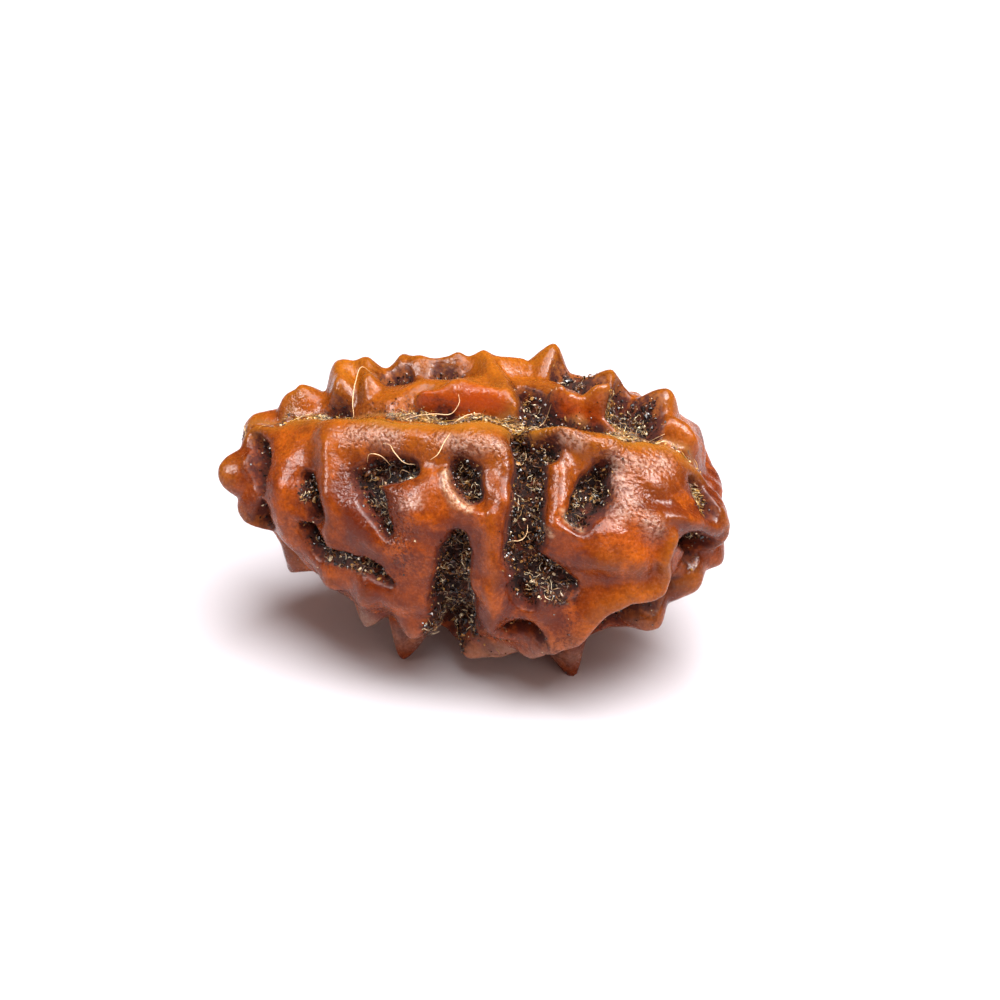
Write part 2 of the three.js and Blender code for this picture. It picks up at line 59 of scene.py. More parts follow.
# Body
HALF_LENGTH = 9.65
HALF_GIRTH = 5.45
TAPER = 0.17  # fuller toward +X
FULLNESS = -0.06  # slimmer toward both ends
BEND = 0.75  # height of both ends above the middle
AXIS_HEIGHT = 6.35  # middle of the egg above the surface that it rests on

# Relief
WALL = 0.36  # width of a pit's steep wall
WALL_OUT = 0.04  # how far outside the pit's radius the middle of its wall is
RISE_CUT = 0.9  # the share of a ridge or a knob that a pit cuts away
SHOULDER = 0.3  # how far the skin falls away towards a pit
SHOULDER_WIDTH = 0.48
SEAM_DEPTH = 0.34
SEAM_WIDTH = 0.42
SEAM_BACK = 4  # degrees from a seam's edge to the bottom of its valley
RIDGE_REACH = 1.6  # a ridge ends this many half widths from its line
KNOB_REACH = 1.35  # a knob ends this many radii from its middle
KNOB_POINT = 0.2  # 0 is a round knob, 1 is a cone
FAR_ENOUGH = 2.6  # relief further off than this no longer counts
FAR_AWAY = 9.0  # distance to a pit's edge where no pit is near
LEAST_RING = 0.05  # keeps the girth at the ends above 0
SWELL = (0.16, 4.2)  # height and length of the large waves of the skin
SMALL_SWELL = (0.06, 1.9)
WANDER = (0.1, 2.3)  # how far, and over what length, outlines wander

# Places are (mm along X from the middle, degrees round X, mm of size). 0 degrees is -Y, 90 is the top.
SEAM = [
    (-9.6, 70), (-8.6, 86), (-7.4, 84), (-6.3, 78), (-5.2, 72), (-4.0, 68), (-3.2, 66), (-2.5, 64),
    (-1.0, 64), (0.4, 64), (1.4, 65), (2.3, 63), (3.3, 67), (4.2, 71), (5.0, 68), (5.7, 65), (6.6, 70),
    (7.5, 74), (8.5, 74), (9.6, 70),
]

# Pits of the two sides in view: depth, then the line that a pit follows with its radius
PITS = [
    (0.95, [(-3.9, 36, 0.38), (-3.2, 41, 0.5), (-2.5, 42, 0.5), (-1.95, 43, 0.34)]),
    (0.75, [(-3.5, 32, 0.38), (-3.1, 25, 0.34), (-2.85, 19, 0.24), (-2.65, 13, 0.13)]),
    (0.9, [(0.05, 45, 0.3), (0.35, 41, 0.42), (0.65, 35, 0.3)]),
    (1.1, [(2.2, 61, 0.3), (2.6, 53, 0.46), (2.75, 44, 0.52), (2.8, 35, 0.55), (2.8, 28, 0.57),
           (2.7, 19, 0.62), (2.75, 10, 0.67)]),
    (0.9, [(2.8, 55, 0.4), (3.4, 54, 0.34)]),
    (1.0, [(2.9, 5, 0.72), (3.1, 1, 0.7)]),
    (0.6, [(3.2, 3, 0.7), (3.8, -2, 0.6), (4.4, -5, 0.34)]),
    (0.8, [(2.9, -4, 0.56), (2.8, -10, 0.36)]),
    (1.0, [(5.4, 48, 0.36), (5.2, 41, 0.6), (5.0, 33, 0.65), (4.75, 27, 0.42)]),
    (1.1, [(0.1, 16, 0.22), (0.1, 8, 0.5), (0.0, -3, 0.64), (-0.1, -16, 0.78), (0.0, -28, 0.74),
           (-0.1, -42, 0.64), (-0.5, -52, 0.5), (-0.8, -60, 0.42), (-0.8, -70, 0.4)]),
    (0.85, [(2.1, -29, 0.2), (2.6, -28, 0.3), (3.1, -29, 0.22)]),
    (0.8, [(-6.1, 33, 0.24), (-5.8, 22, 0.36), (-5.7, 12, 0.26)]),
    (0.85, [(-5.9, -1, 0.34), (-5.6, -7, 0.46)]),
    (1.05, [(-8.55, 66, 0.16), (-8.3, 44, 0.34), (-8.1, 18, 0.24)]),
    (0.55, [(-3.5, -6, 0.16), (-3.0, -8, 0.27), (-2.6, -11, 0.18)]),
    (0.22, [(-5.2, -8, 0.14), (-4.4, -6, 0.12), (-3.6, -6, 0.12)]),
    (0.55, [(-8.0, -4, 0.2), (-8.0, -20, 0.28)]),
    (0.45, [(8.75, 56, 0.16), (8.95, 43, 0.26), (9.05, 28, 0.22)]),
    (1.0, [(8.7, 3, 0.3), (9.0, -12, 0.4), (8.9, -26, 0.28)]),
    (0.9, [(7.8, -34, 0.34), (6.8, -34, 0.34), (5.9, -43, 0.42), (5.3, -54, 0.46), (4.8, -64, 0.36)]),
    (0.8, [(6.0, -54, 0.35), (5.9, -64, 0.5)]),
    (0.5, [(-5.75, 78, 0.16), (-5.2, 79, 0.2)]),
    (0.3, [(-1.2, 71.5, 0.1), (-0.85, 71, 0.15)]),
    (0.7, [(1.8, 86, 0.28), (2.3, 82, 0.34), (2.5, 73, 0.52), (3.3, 70, 0.38), (4.2, 69, 0.28),
           (5.0, 71, 0.3)]),
    (0.85, [(5.4, 92, 0.48), (5.8, 84, 0.58), (6.3, 80, 0.54), (6.9, 79, 0.38)]),
    (0.8, [(5.6, 101, 0.4), (6.1, 93, 0.56), (6.6, 87, 0.5)]),
    (0.7, [(3.1, 104, 0.32), (3.7, 100, 0.44), (4.3, 97, 0.36)]),
    (0.6, [(-3.4, 97, 0.36), (-3.0, 97, 0.26)]),
    (0.25, [(-1.6, 98, 0.24), (-1.0, 96, 0.26)]),
]

# Ridges of the sides in view: height (a hollow's is below 0), how far the crest droops, then its line with
# the half width
RIDGES = [
    (0.7, 0, [(-1.7, 75, 0.34), (-1.2, 77, 0.44), (-0.7, 79, 0.52), (-0.2, 79, 0.52), (0.6, 78, 0.5),
              (1.2, 76, 0.46), (1.7, 72, 0.38)]),
    (0.4, 0, [(-2.0, 84, 0.7), (-1.0, 86, 0.8), (0.0, 84, 0.7)]),
    (0.6, 0, [(0.0, 103, 0.45), (0.6, 93, 0.45), (1.1, 84, 0.45), (1.5, 77, 0.42)]),
    (0.8, 0.12, [(3.0, 79, 0.3), (3.25, 80, 0.34)]),
    (0.4, 0.12, [(3.25, 80, 0.34), (4.5, 81, 0.38)]),
    (1.25, 0.12, [(4.5, 82, 0.36), (4.9, 84, 0.38)]),
    (0.3, 0, [(-5.3, 59, 0.7), (-3.6, 57, 0.8), (-2.0, 57, 0.8), (-0.5, 57, 0.8), (1.0, 57, 0.75)]),
    (0.42, 0, [(3.6, 62, 0.55), (4.3, 62, 0.6), (5.3, 58, 0.6)]),
    (0.35, 0, [(1.5, 26, 0.5), (1.6, 13, 0.5), (1.7, 0, 0.5), (1.6, -16, 0.5), (1.4, -22, 0.4)]),
    (0.35, 0, [(6.0, 34, 0.7), (6.9, 25, 0.7), (7.6, 20, 0.55)]),
    (0.35, 0, [(7.4, 28, 0.4), (8.1, 26, 0.36), (8.8, 18, 0.36), (9.2, 8, 0.4)]),
    (0.6, 0.25, [(3.6, -30, 0.6), (4.4, -28, 0.55), (5.0, -20, 0.6), (5.7, -13, 0.58), (6.5, -10, 0.55),
                 (7.2, -13, 0.5), (7.55, -14, 0.48), (7.65, -6, 0.46), (7.6, 5, 0.4), (7.9, 16, 0.36)]),
    (0.6, 0, [(0.2, -60, 0.5), (1.3, -56, 0.55), (2.3, -51, 0.55), (3.1, -42, 0.5), (3.6, -31, 0.5)]),
    (0.75, 0, [(-3.0, 106, 0.55), (-2.0, 103, 0.5), (-1.0, 104, 0.5)]),
    (0.5, 0, [(-1.0, 104, 0.5), (-0.2, 105, 0.5), (0.6, 102, 0.5), (1.5, 106, 0.45)]),
    (0.95, 0, [(-5.3, 106, 0.6), (-5.1, 90, 0.55)]),
    (0.75, 0, [(-4.4, 104, 0.6), (-4.1, 88, 0.5)]),
    (1.0, 0, [(-5.3, 104, 0.6), (-4.3, 103, 0.6)]),
    (0.5, 0, [(-4.2, 105, 0.5), (-3.2, 107, 0.5)]),
    (0.35, 0, [(-3.4, -20, 0.6), (-3.6, -36, 0.55)]),
    (0.25, 0, [(3.6, 55, 0.4), (3.8, 44, 0.4), (3.9, 33, 0.4), (3.8, 24, 0.4)]),
    (0.2, 0, [(1.7, 53, 0.35), (1.9, 41, 0.35), (1.9, 29, 0.35)]),
    (0.22, 0, [(-0.5, 42, 0.26), (-0.2, 35, 0.26), (0.3, 28, 0.28), (1.0, 26, 0.26)]),
    (0.16, 0, [(4.1, 22, 0.26), (4.7, 18, 0.28), (5.3, 21, 0.24)]),
    (0.3, 0, [(-5.2, 52, 0.55), (-5.0, 34, 0.5), (-5.0, 12, 0.5), (-4.8, -2, 0.45)]),
    (0.4, 0, [(7.4, 90, 0.5), (7.8, 90, 0.55), (8.2, 86, 0.55)]),
    (0.45, 0, [(9.1, 36, 0.5), (9.4, 5, 0.5), (9.3, -25, 0.5)]),
    (-0.6, 0, [(8.7, 130, 0.6), (9.2, 119, 0.75), (9.2, 102, 0.8), (9.3, 88, 0.6)]),
    (0.4, 0, [(5.6, 10, 1.1), (6.7, 4, 1.0)]),
]

# Knobs of the sides in view: place, then height and radius. It rests on the first three.
KNOBS = [
    ((3.75, -76), 1.6, 0.85),
    ((-2.4, -75), 1.7, 0.85),
    ((0.9, -122), 1.7, 1.0),
    ((2.4, 110), 1.25, 0.78),
    ((-3.0, 110), 0.7, 0.8),
    ((4.8, 106), 0.75, 0.95),
    ((6.85, 101), 0.95, 0.8),
    ((-7.25, 97), 0.6, 0.75),
    ((-6.75, 99), 0.7, 0.7),
    ((-8.8, 92), 0.8, 1.15),
    ((-9.3, 22), 0.7, 0.95),
    ((-8.7, 42), 0.45, 0.8),
    ((-8.5, -28), 0.75, 0.95),
    ((9.4, 20), 0.4, 1.0),
    ((9.2, -60), 0.4, 1.0),
    ((8.6, -46), 0.65, 0.95),
    ((7.25, -46.5), 0.8, 0.68),
    ((6.9, -48.5), 0.6, 0.6),
    ((-3.6, -49), 0.95, 0.72),
    ((-1.7, -38), 0.55, 0.75),
    ((-5.0, -24), 0.4, 0.9),
    ((4.9, 85), 0.2, 0.5),
]

# The sides that face away carry the same kinds of relief, laid out by a rule with seeded draws. A hidden pit
# has a middle and two tips: they lie so many of its radii off, and their own radii are shares of its radius.
DRAW_SEED = 7
HIDDEN_PITS = {
    "count": 44, "tries": 900, "ends": 8.8, "from": 112, "to": 306, "apart": 1.9, "gap": 0.45, "turn": 0.6,
    "radius": (0.3, 0.55), "depth": (0.7, 1), "tips_off": 1.3, "tips": (0.7, 0.75),
}
HIDDEN_KNOBS = {
    "count": 52, "tries": 1500, "ends": 8.2, "from": 140, "to": 292, "apart": 1.5, "gap": 0.5,
    "seam_gap": 0.7, "height": (0.45, 0.95), "radius": (0.75, 1),
}
KEEP_OFF = {"knob": 0.7, "ridge": 0.6}  # the share of its width that hidden relief keeps off
BLUNT_END_BARE = 1.5  # for each mm toward the blunt end, knobs start this many degrees further back
HIDDEN_RIDGE = {"height": 0.4, "half_width": 0.5, "longest": 2.9}
LOW_SIDE = -4.6  # knobs below this height from the axis are half as tall


def smooth(t):
    """0 below 0 and 1 above 1, with a soft step between."""
    t = np.clip(t, 0, 1)
    return t * t * (3 - 2 * t)


def past(value, start, width):
    """0 before the start and 1 a width further on. With a width below 0 it is 1 before, and falls to 0."""
    return smooth((value - start) / width)


def egg_point(u):
    """Points of the bare egg for unit directions u, with its middle at the origin."""
    girth = HALF_GIRTH * (1 + TAPER * u[:, 0] + FULLNESS * u[:, 0] ** 2)
    return np.stack([HALF_LENGTH * u[:, 0], girth * u[:, 1], girth * u[:, 2] + BEND * u[:, 0] ** 2], axis=1)


def egg_normal(u):
    """Which way is out, on a plain ellipsoid of the egg's size."""
    n = u / (HALF_LENGTH, HALF_GIRTH, HALF_GIRTH)
    return n / np.linalg.norm(n, axis=1, keepdims=True)


def direction(x, degrees):
    along = max(-1, min(1, x / HALF_LENGTH))
    ring = math.sqrt(1 - along * along)
    turn = math.radians(degrees)
    return np.array([[along, -ring * math.cos(turn), ring * math.sin(turn)]])


def place(x, degrees):
    return egg_point(direction(x, degrees))[0]


def wave(p, length, kind):
    """Smooth variation from about -1 to 1: five sines that run in different directions."""
    total = np.zeros(len(p))
    for i in range(5):
        a = kind * 1.7 + i * 2.399
        b = kind * 0.9 + i * 1.31
        along = p @ np.array([math.cos(a) * math.sin(b), math.sin(a) * math.sin(b), math.cos(b)])
        total += np.sin(2 * math.pi / length * (1 + 0.17 * i) * along + kind + 3.1 * i)
    return total / 3


def laid(line):
    """A line's places on the egg, and its sizes."""
    at = np.array([place(*node[:2]) for node in line])
    size = np.array([node[2] if len(node) > 2 else 0 for node in line])
    return at, size


def near(p, line):
    """Which points are near enough to a laid line to be changed by it."""
    at, size = line
    middle = at.mean(axis=0)
    reach = (np.linalg.norm(at - middle, axis=1) + size).max()
    return np.flatnonzero(np.linalg.norm(p - middle, axis=1) < reach + FAR_ENOUGH)


def line_spans(p, line):
    """For each straight stretch of a line: how far p is from it, and the size there."""
    at, size = line
    for i in range(1, len(at)):
        step = at[i] - at[i - 1]
        t = np.clip((p - at[i - 1]) @ step / (step @ step), 0, 1)
        far = np.linalg.norm(p - at[i - 1] - t[:, None] * step, axis=1)
        yield far, size[i - 1] + t * (size[i] - size[i - 1])


def outside(p, line):
    """How far p is outside a line with a radius; inside it is below 0."""
    return np.min([far - size for far, size in line_spans(p, line)], axis=0)


def crest(p, line):
    """1 on a ridge's line, falling to 0 beside it."""
    return smooth(np.max([1 - far / size / RIDGE_REACH for far, size in line_spans(p, line)], axis=0))


def seam_lines(turned_back):
    """The seam in view, and the two others a third of a turn on, which run end for end."""
    lines = [SEAM]
    for third in (1, 2):
        lines.append([(-x, degrees + third * 120) for x, degrees in reversed(SEAM)])
    return [laid([(x, degrees + turned_back) for x, degrees in line]) for line in lines]


def make_draw(seed):
    """Repeatable draws, the same as in the part's source."""
    state = seed

    def draw(low, high):
        nonlocal state
        state = state * 16807 % 2147483647
        return low + (high - low) * state / 2147483647

    return draw


def crowded(middle, taken, gap):
    """Whether a place is nearer than the gap to anything in a list of places with sizes."""
    at = np.array([t[0] for t in taken])
    size = np.array([t[1] for t in taken])
    return bool((np.linalg.norm(at - middle, axis=1) < size + gap).any())


def hidden_pits(draw, taken):
    """Pits on the sides that face away, clear of what is taken and of each other."""
    rule = HIDDEN_PITS
    first, last = rule["tips"]
    pits = []
    middles = []
    for _ in range(rule["tries"]):
        if len(pits) == rule["count"]:
            break
        x = draw(-rule["ends"], rule["ends"])
        degrees = draw(rule["from"], rule["to"])
        turn = draw(-rule["turn"], rule["turn"])
        size = draw(*rule["radius"])
        depth = draw(*rule["depth"])
        middle = place(x, degrees)
        too_near = any(np.linalg.norm(middle - q) < rule["apart"] for q in middles)
        if too_near or crowded(middle, taken, size + rule["gap"]):
            continue
        ring = HALF_GIRTH * math.sqrt(max(LEAST_RING, 1 - (x / HALF_LENGTH) ** 2))
        dx = size * rule["tips_off"] * math.sin(turn)
        dt = math.degrees(size * rule["tips_off"] * math.cos(turn) / ring)
        line = [(x - dx, degrees - dt, size * first), (x, degrees, size), (x + dx, degrees + dt, size * last)]
        pits.append((depth, line))
        middles.append(middle)
        taken.extend(zip(*laid(line)))
    return pits


def hidden_knobs(draw, taken, seams):
    """Knobs on the sides that face away, clear of what is taken, of the seams and of each other."""
    rule = HIDDEN_KNOBS
    knobs = []
    on_seams = [(at, 0) for line in seams for at in line[0]]
    for _ in range(rule["tries"]):
        if len(knobs) == rule["count"]:
            break
        x = draw(-rule["ends"], rule["ends"])
        degrees = draw(rule["from"], rule["to"])
        height = draw(*rule["height"])
        radius = draw(*rule["radius"])
        middle = place(x, degrees)
        bare = BLUNT_END_BARE * max(0, x)
        if degrees < rule["from"] + bare or degrees > rule["to"] - bare:
            continue
        too_near = any(np.linalg.norm(middle - place(*knob[0])) < rule["apart"] for knob in knobs)
        if too_near or crowded(middle, taken, rule["gap"]) or crowded(middle, on_seams, rule["seam_gap"]):
            continue
        knobs.append(((x, degrees), height / 2 if middle[2] < LOW_SIDE else height, radius))
    return knobs


def hidden_ridges(knobs):
    """Each hidden knob is joined by ridges to its two nearest neighbours, where these are near enough."""
    ridges = []
    for knob in knobs:
        others = [other for other in knobs if other is not knob]
        others.sort(key=lambda other: np.linalg.norm(place(*other[0]) - place(*knob[0])))
        for other in others[:2]:
            if np.linalg.norm(place(*other[0]) - place(*knob[0])) < HIDDEN_RIDGE["longest"]:
                line = [(*end[0], HIDDEN_RIDGE["half_width"]) for end in (knob, other)]
                ridges.append((HIDDEN_RIDGE["height"], 0, line))
    return ridges


def all_relief():
    draw = make_draw(DRAW_SEED)
    seams = seam_lines(0)
    taken = [item for _, line in PITS for item in zip(*laid(line))]
    taken += [(place(*at), KEEP_OFF["knob"] * radius) for at, _, radius in KNOBS]
    for _, _, line in RIDGES:
        taken += zip(*laid([(x, degrees, KEEP_OFF["ridge"] * width) for x, degrees, width in line]))
    pits = PITS + hidden_pits(draw, taken)
    back_knobs = hidden_knobs(draw, taken, seams)
    ridges = RIDGES + hidden_ridges(back_knobs)
    return {
        "pits": [(depth, laid(line)) for depth, line in pits],
        "ridges": [(height, droop, laid(line)) for height, droop, line in ridges],
        "knobs": [(place(*at), height, radius) for at, height, radius in KNOBS + back_knobs],
        "valleys": seam_lines(SEAM_BACK),
        "seams": seams,
    }


def pits_at(p, pits):
    """Depth of the pits at p, and how far the nearest pit's edge is."""
    depth = np.zeros(len(p))
    edge = np.full(len(p), FAR_AWAY)
    for deep, line in pits:
        some = near(p, line)
        far = outside(p[some], line)
        edge[some] = np.minimum(edge[some], far)
        depth[some] = np.maximum(depth[some], deep * smooth(0.5 - (far - WALL_OUT) / WALL))
    return depth, edge


def rise_at(p, relief):
    """Height of ridges and knobs at p, joined softly, and how far it droops."""
    cubes = np.zeros(len(p))
    droops = np.zeros(len(p))
    for height, droop, line in relief["ridges"]:
        some = near(p, line)
        c = crest(p[some], line)
        cubes[some] += (height * c) ** 3
        droops[some] += droop * c
    for at, height, radius in relief["knobs"]:
        some = np.flatnonzero(np.linalg.norm(p - at, axis=1) < KNOB_REACH * radius)
        c = 1 - np.linalg.norm(p[some] - at, axis=1) / (KNOB_REACH * radius)
        cubes[some] += (height * ((1 - KNOB_POINT) * smooth(c) + KNOB_POINT * c)) ** 3
    return np.cbrt(cubes), droops


def seed_surface(u, relief):
    """Points of the seed for unit directions u, and what the finish needs to know about them."""
    p = egg_point(u)
    n = egg_normal(u)
    q = p + WANDER[0] * np.stack([wave(p, WANDER[1], kind) for kind in (1, 2, 3)], axis=1)
    depth, edge = pits_at(q, relief["pits"])
    share = smooth(0.5 - (edge - WALL_OUT) / WALL)
    rise, droop = rise_at(q, relief)
    valley = np.min([outside(q, line) for line in relief["valleys"]], axis=0)
    swell = SWELL[0] * wave(p, SWELL[1], 5) + SMALL_SWELL[0] * wave(p, SMALL_SWELL[1], 6)
    fall = SHOULDER * np.exp(-np.maximum(edge, 0) / SHOULDER_WIDTH)
    hollow = SEAM_DEPTH * np.exp(-((valley / SEAM_WIDTH) ** 2))
    height = swell - fall - hollow + rise * (1 - RISE_CUT * share) - depth
    points = p + n * height[:, None]
    points[:, 2] += AXIS_HEIGHT - droop * (1 - share)
    return points, {
        "depth": depth, "edge": edge, "pit": share, "rise": rise, "valley": valley, "warped": q, "normal": n,
    }


# Fine relief that only the looks have
PIT_GRAIN = (0.11, 0.42)  # height and length of the lumps on the pits' floors
SKIN_GRAIN = (0.03, 0.7)
SEAM_CRACK = (0.14, 0.07)  # depth and half width of the crack along each seam
SPHERE_ROUNDS = 6  # the finer seed starts as a sphere of this many subdivisions
EDGE_CUTS = 2  # and then each edge is cut this many times
SPREAD_ROUNDS = 8
SPREAD_STEP = 0.4

# Bands along the seams and around the pits. A pair is the start and the width of a soft edge.
RIM_START = 0.1  # from a pit's edge
RIM_WIDTH = 0.36  # how far the painted shade around a pit reaches
LIP_WIDTH = 0.8  # of the golden lip in front of a seam
LIP_EDGE = (0.05, 0.2)
DUST_EDGE = (0.1, -0.3)
DUST_REACH = (0.25, -0.2)
HIDDEN_SHARE = 0.2  # how much lip, dust and golden litter the other seams have

# Places on the skin, and what it is like there: lines with the half width
PLACES = {"sandy": [  # glitters like sand
    [(-4.1, 57, 0.6), (-3.2, 56, 0.6), (-2.4, 54, 0.5)],
    [(-0.8, 54, 0.5), (0.4, 54, 0.5), (1.5, 52, 0.45)],
    [(3.4, 62, 0.5), (4.4, 60, 0.5)],
    [(5.5, 57, 0.7), (6.6, 56, 0.7), (7.7, 61, 0.6)],
    [(6.0, 40, 0.7), (6.7, 33, 0.8), (7.1, 22, 0.6)],
    [(-2.2, 30, 0.6), (-1.8, 18, 0.7), (-2.2, 4, 0.7)],
    [(-4.4, 40, 0.4), (-4.2, 26, 0.4)],
], "wrinkled": [  # finely wrinkled
    [(6.1, 51, 0.5), (6.5, 47, 0.5)],
    [(6.8, 31, 0.4), (7.0, 26, 0.45), (7.4, 20, 0.4)],
], "wear_and_highlight": [  # worn pale, and a painted highlight on rims that face up
    [(-0.5, 42, 0.15), (-0.35, 36, 0.19), (0.05, 31, 0.22), (0.6, 28, 0.19)],
    [(4.05, 30, 0.1), (4.3, 25, 0.15), (4.8, 22, 0.12)],
    [(3.4, 23, 0.12), (3.6, 19, 0.12)],
], "painted_highlight": [  # painted highlight, pale between its pebbles
    [(-4.2, 57, 0.3), (-3.4, 57, 0.4), (-2.6, 55, 0.35)],
    [(-0.6, 54, 0.3), (0.3, 53, 0.35), (1.5, 53, 0.3)],
    [(3.8, 59, 0.25), (4.4, 57, 0.25)],
    [(5.6, 54, 0.25), (6.1, 46, 0.4), (6.4, 36, 0.4), (6.0, 26, 0.35)],
    [(6.2, 53, 0.3), (7.0, 54, 0.4), (7.6, 60, 0.35)],
    [(6.7, 28, 0.35), (7.2, 22, 0.4)],
    [(-1.8, 28, 0.25), (-1.3, 29, 0.25)],
], "painted_glow": [  # painted glow, red as if light shone through
    [(-1.7, 73, 0.3), (-0.9, 74, 0.45), (0.2, 74, 0.45), (1.2, 73, 0.35)],
    [(3.1, 75, 0.35), (3.9, 75, 0.4), (4.8, 76, 0.4)],
], "amber": [  # clearer orange
    [(1.45, 16, 0.3), (1.5, 8, 0.32), (1.5, -2, 0.3), (1.45, -12, 0.25)],
    [(-0.9, 4, 0.35), (-0.8, -2, 0.3)],
    [(5.6, 18, 0.5), (6.4, 14, 0.6), (7.1, 10, 0.5)],
    [(0.7, -42, 0.2), (1.6, -45, 0.25), (2.4, -44, 0.2)],
    [(6.9, -81, 0.5), (6.9, -66, 0.4)],
    [(-6.9, 26, 0.35), (-6.8, 8, 0.4)],
    [(-4.6, 22, 0.3), (-4.6, 8, 0.3)],
    [(0.9, 30, 0.25), (1.0, 22, 0.2)],
], "soiled": [  # under dirt and litter, past a pit's edge
    [(-0.4, -22, 0.5), (-0.6, -32, 0.65), (-0.5, -44, 0.75), (-0.5, -56, 0.6)],
    [(0.2, -36, 0.5), (0.2, -48, 0.5)],
    [(3.4, -1, 0.5), (4.0, -7, 0.6)],
    [(5.7, 95, 0.5), (6.4, 94, 0.4)],
    [(3.5, 106, 0.45), (4.0, 104, 0.3)],
    [(-5.8, -9, 0.35), (-5.0, -10, 0.25), (-4.0, -9, 0.2), (-2.8, -9, 0.25)],
    [(-6.2, 28, 0.25), (-6.1, 20, 0.3)],
], "golden": [  # under golden crumbs and fibres
    [(-6.3, 80, 0.2), (-5.6, 78, 0.25)],
    [(-2.9, 69, 0.14), (-1.6, 69, 0.17), (-0.6, 68, 0.17), (0.4, 67, 0.18), (1.3, 67, 0.17),
     (2.6, 67, 0.22), (3.2, 69, 0.18)],
    [(5.0, 69, 0.16), (5.4, 69, 0.25), (6.4, 72, 0.22), (7.2, 76, 0.18)],
    [(5.3, 86, 0.3), (5.9, 84, 0.4), (6.5, 83, 0.3)],
    [(8.85, 52, 0.2), (9.0, 34, 0.25)],
], "gritty": [  # under brown grit
    [(-4.4, 74, 0.3), (-3.3, 72, 0.4), (-2.1, 73, 0.35)],
    [(-1.4, 70, 0.2), (-0.2, 70, 0.2), (1.2, 69, 0.2)],
    [(-2.2, 16, 0.5), (-1.8, 4, 0.6), (-2.2, -6, 0.5)],
    [(4.0, 6, 0.4), (4.3, -6, 0.5), (4.3, -18, 0.5), (3.9, -30, 0.4)],
    [(-3.0, 22, 0.35), (-2.6, 10, 0.3)],
    [(-4.1, 44, 0.25), (-3.9, 30, 0.25)],
    [(-0.3, -36, 0.5), (-0.5, -52, 0.5)],
    [(1.0, -36, 0.3), (2.3, -38, 0.3)],
    [(6.0, 52, 0.2), (5.9, 44, 0.2)],
]}

# What the skin's material reads at each point
SKIN_ATTRIBUTES = (
    "depth", "rise", "seam", "lip", "dust", "pit_rim_shade", "sandy", "wrinkled", "wear_and_highlight", "painted_highlight", "painted_glow", "amber",
    "soiled", "gritty",
)


def lumps(p, length, kind):
    """Irregular lumps from about -1 to 1."""
    size = 1 / length
    return np.array([noise.fractal(Vector(v) * size + Vector((kind, 0, 0)), 1.0, 2.1, 3) for v in p])


def fine_surface(u, relief):
    """The seed's surface with its fine relief, and where each look of the skin is."""
    points, about = seed_surface(u, relief)
    seams = [outside(about["warped"], line) for line in relief["seams"]]
    seam = np.min(seams, axis=0)
    in_view = np.where(seams[0] <= seam, 1, HIDDEN_SHARE)
    crack = SEAM_CRACK[0] * np.exp(-((seam / SEAM_CRACK[1]) ** 2)) * (1 - about["pit"])
    floor = about["pit"] * PIT_GRAIN[0] * lumps(points, PIT_GRAIN[1], 0)
    skin = (1 - about["pit"]) * SKIN_GRAIN[0] * lumps(points, SKIN_GRAIN[1], 7)
    points = points + about["normal"] * (floor + skin - crack)[:, None]
    side = about["valley"] - seam
    about["seam"] = seam
    about["in_view"] = in_view
    about["lip"] = in_view * past(side, *LIP_EDGE) * past(seam, LIP_WIDTH, -LIP_WIDTH)
    about["dust"] = in_view * past(side, *DUST_EDGE) * past(about["valley"], *DUST_REACH)
    # painted shade around the pits, fading away from their edges
    about["pit_rim_shade"] = np.exp(-np.maximum(about["edge"] - RIM_START, 0) / RIM_WIDTH)
    for name, lines in PLACES.items():
        about[name] = np.max([crest(about["warped"], laid(line)) for line in lines], axis=0)
    return points, about


def spread(u, edges, relief):
    """One round: each direction moves toward its neighbours' mean, weighted by how far away they lie."""
    points, _ = seed_surface(u, relief)
    a, b = edges.T
    weight = np.linalg.norm(points[a] - points[b], axis=1)
    total = np.bincount(a, weight, len(u)) + np.bincount(b, weight, len(u))
    mean = np.empty_like(u)
    for k in range(3):
        pulled = np.bincount(a, weight * u[b, k], len(u)) + np.bincount(b, weight * u[a, k], len(u))
        mean[:, k] = pulled / total
    moved = (1 - SPREAD_STEP) * u + SPREAD_STEP * mean
    return moved / np.linalg.norm(moved, axis=1, keepdims=True)


def to_mesh(bm, name):
    mesh = bpy.data.meshes.new(name)
    bm.to_mesh(mesh)
    bm.free()
    return mesh


def to_part(points):
    """Millimetres from the egg's middle to metres in the part's frame."""
    return (points - (*OUTLINE_MIDDLE, 0)) * MM


def add_attribute(mesh, name, values):
    mesh.attributes.new(name, "FLOAT", "POINT").data.foreach_set("value", np.asarray(values, np.float32))


def read(items, name, width, kind=np.float64):
    """One thing about all of a mesh's points, edges or faces, in rows."""
    values = np.empty(width * len(items), kind)
    items.foreach_get(name, values)
    return values.reshape(-1, width)


def add_object(name, data):
    item = bpy.data.objects.new(name, data)
    bpy.context.scene.collection.objects.link(item)
    return item


def add_piece(name, mesh, material):
    """A finished piece that moves with the seed's body."""
    piece = add_object(name, mesh)
    mesh.materials.append(material)
    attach(piece, "root")
    return piece


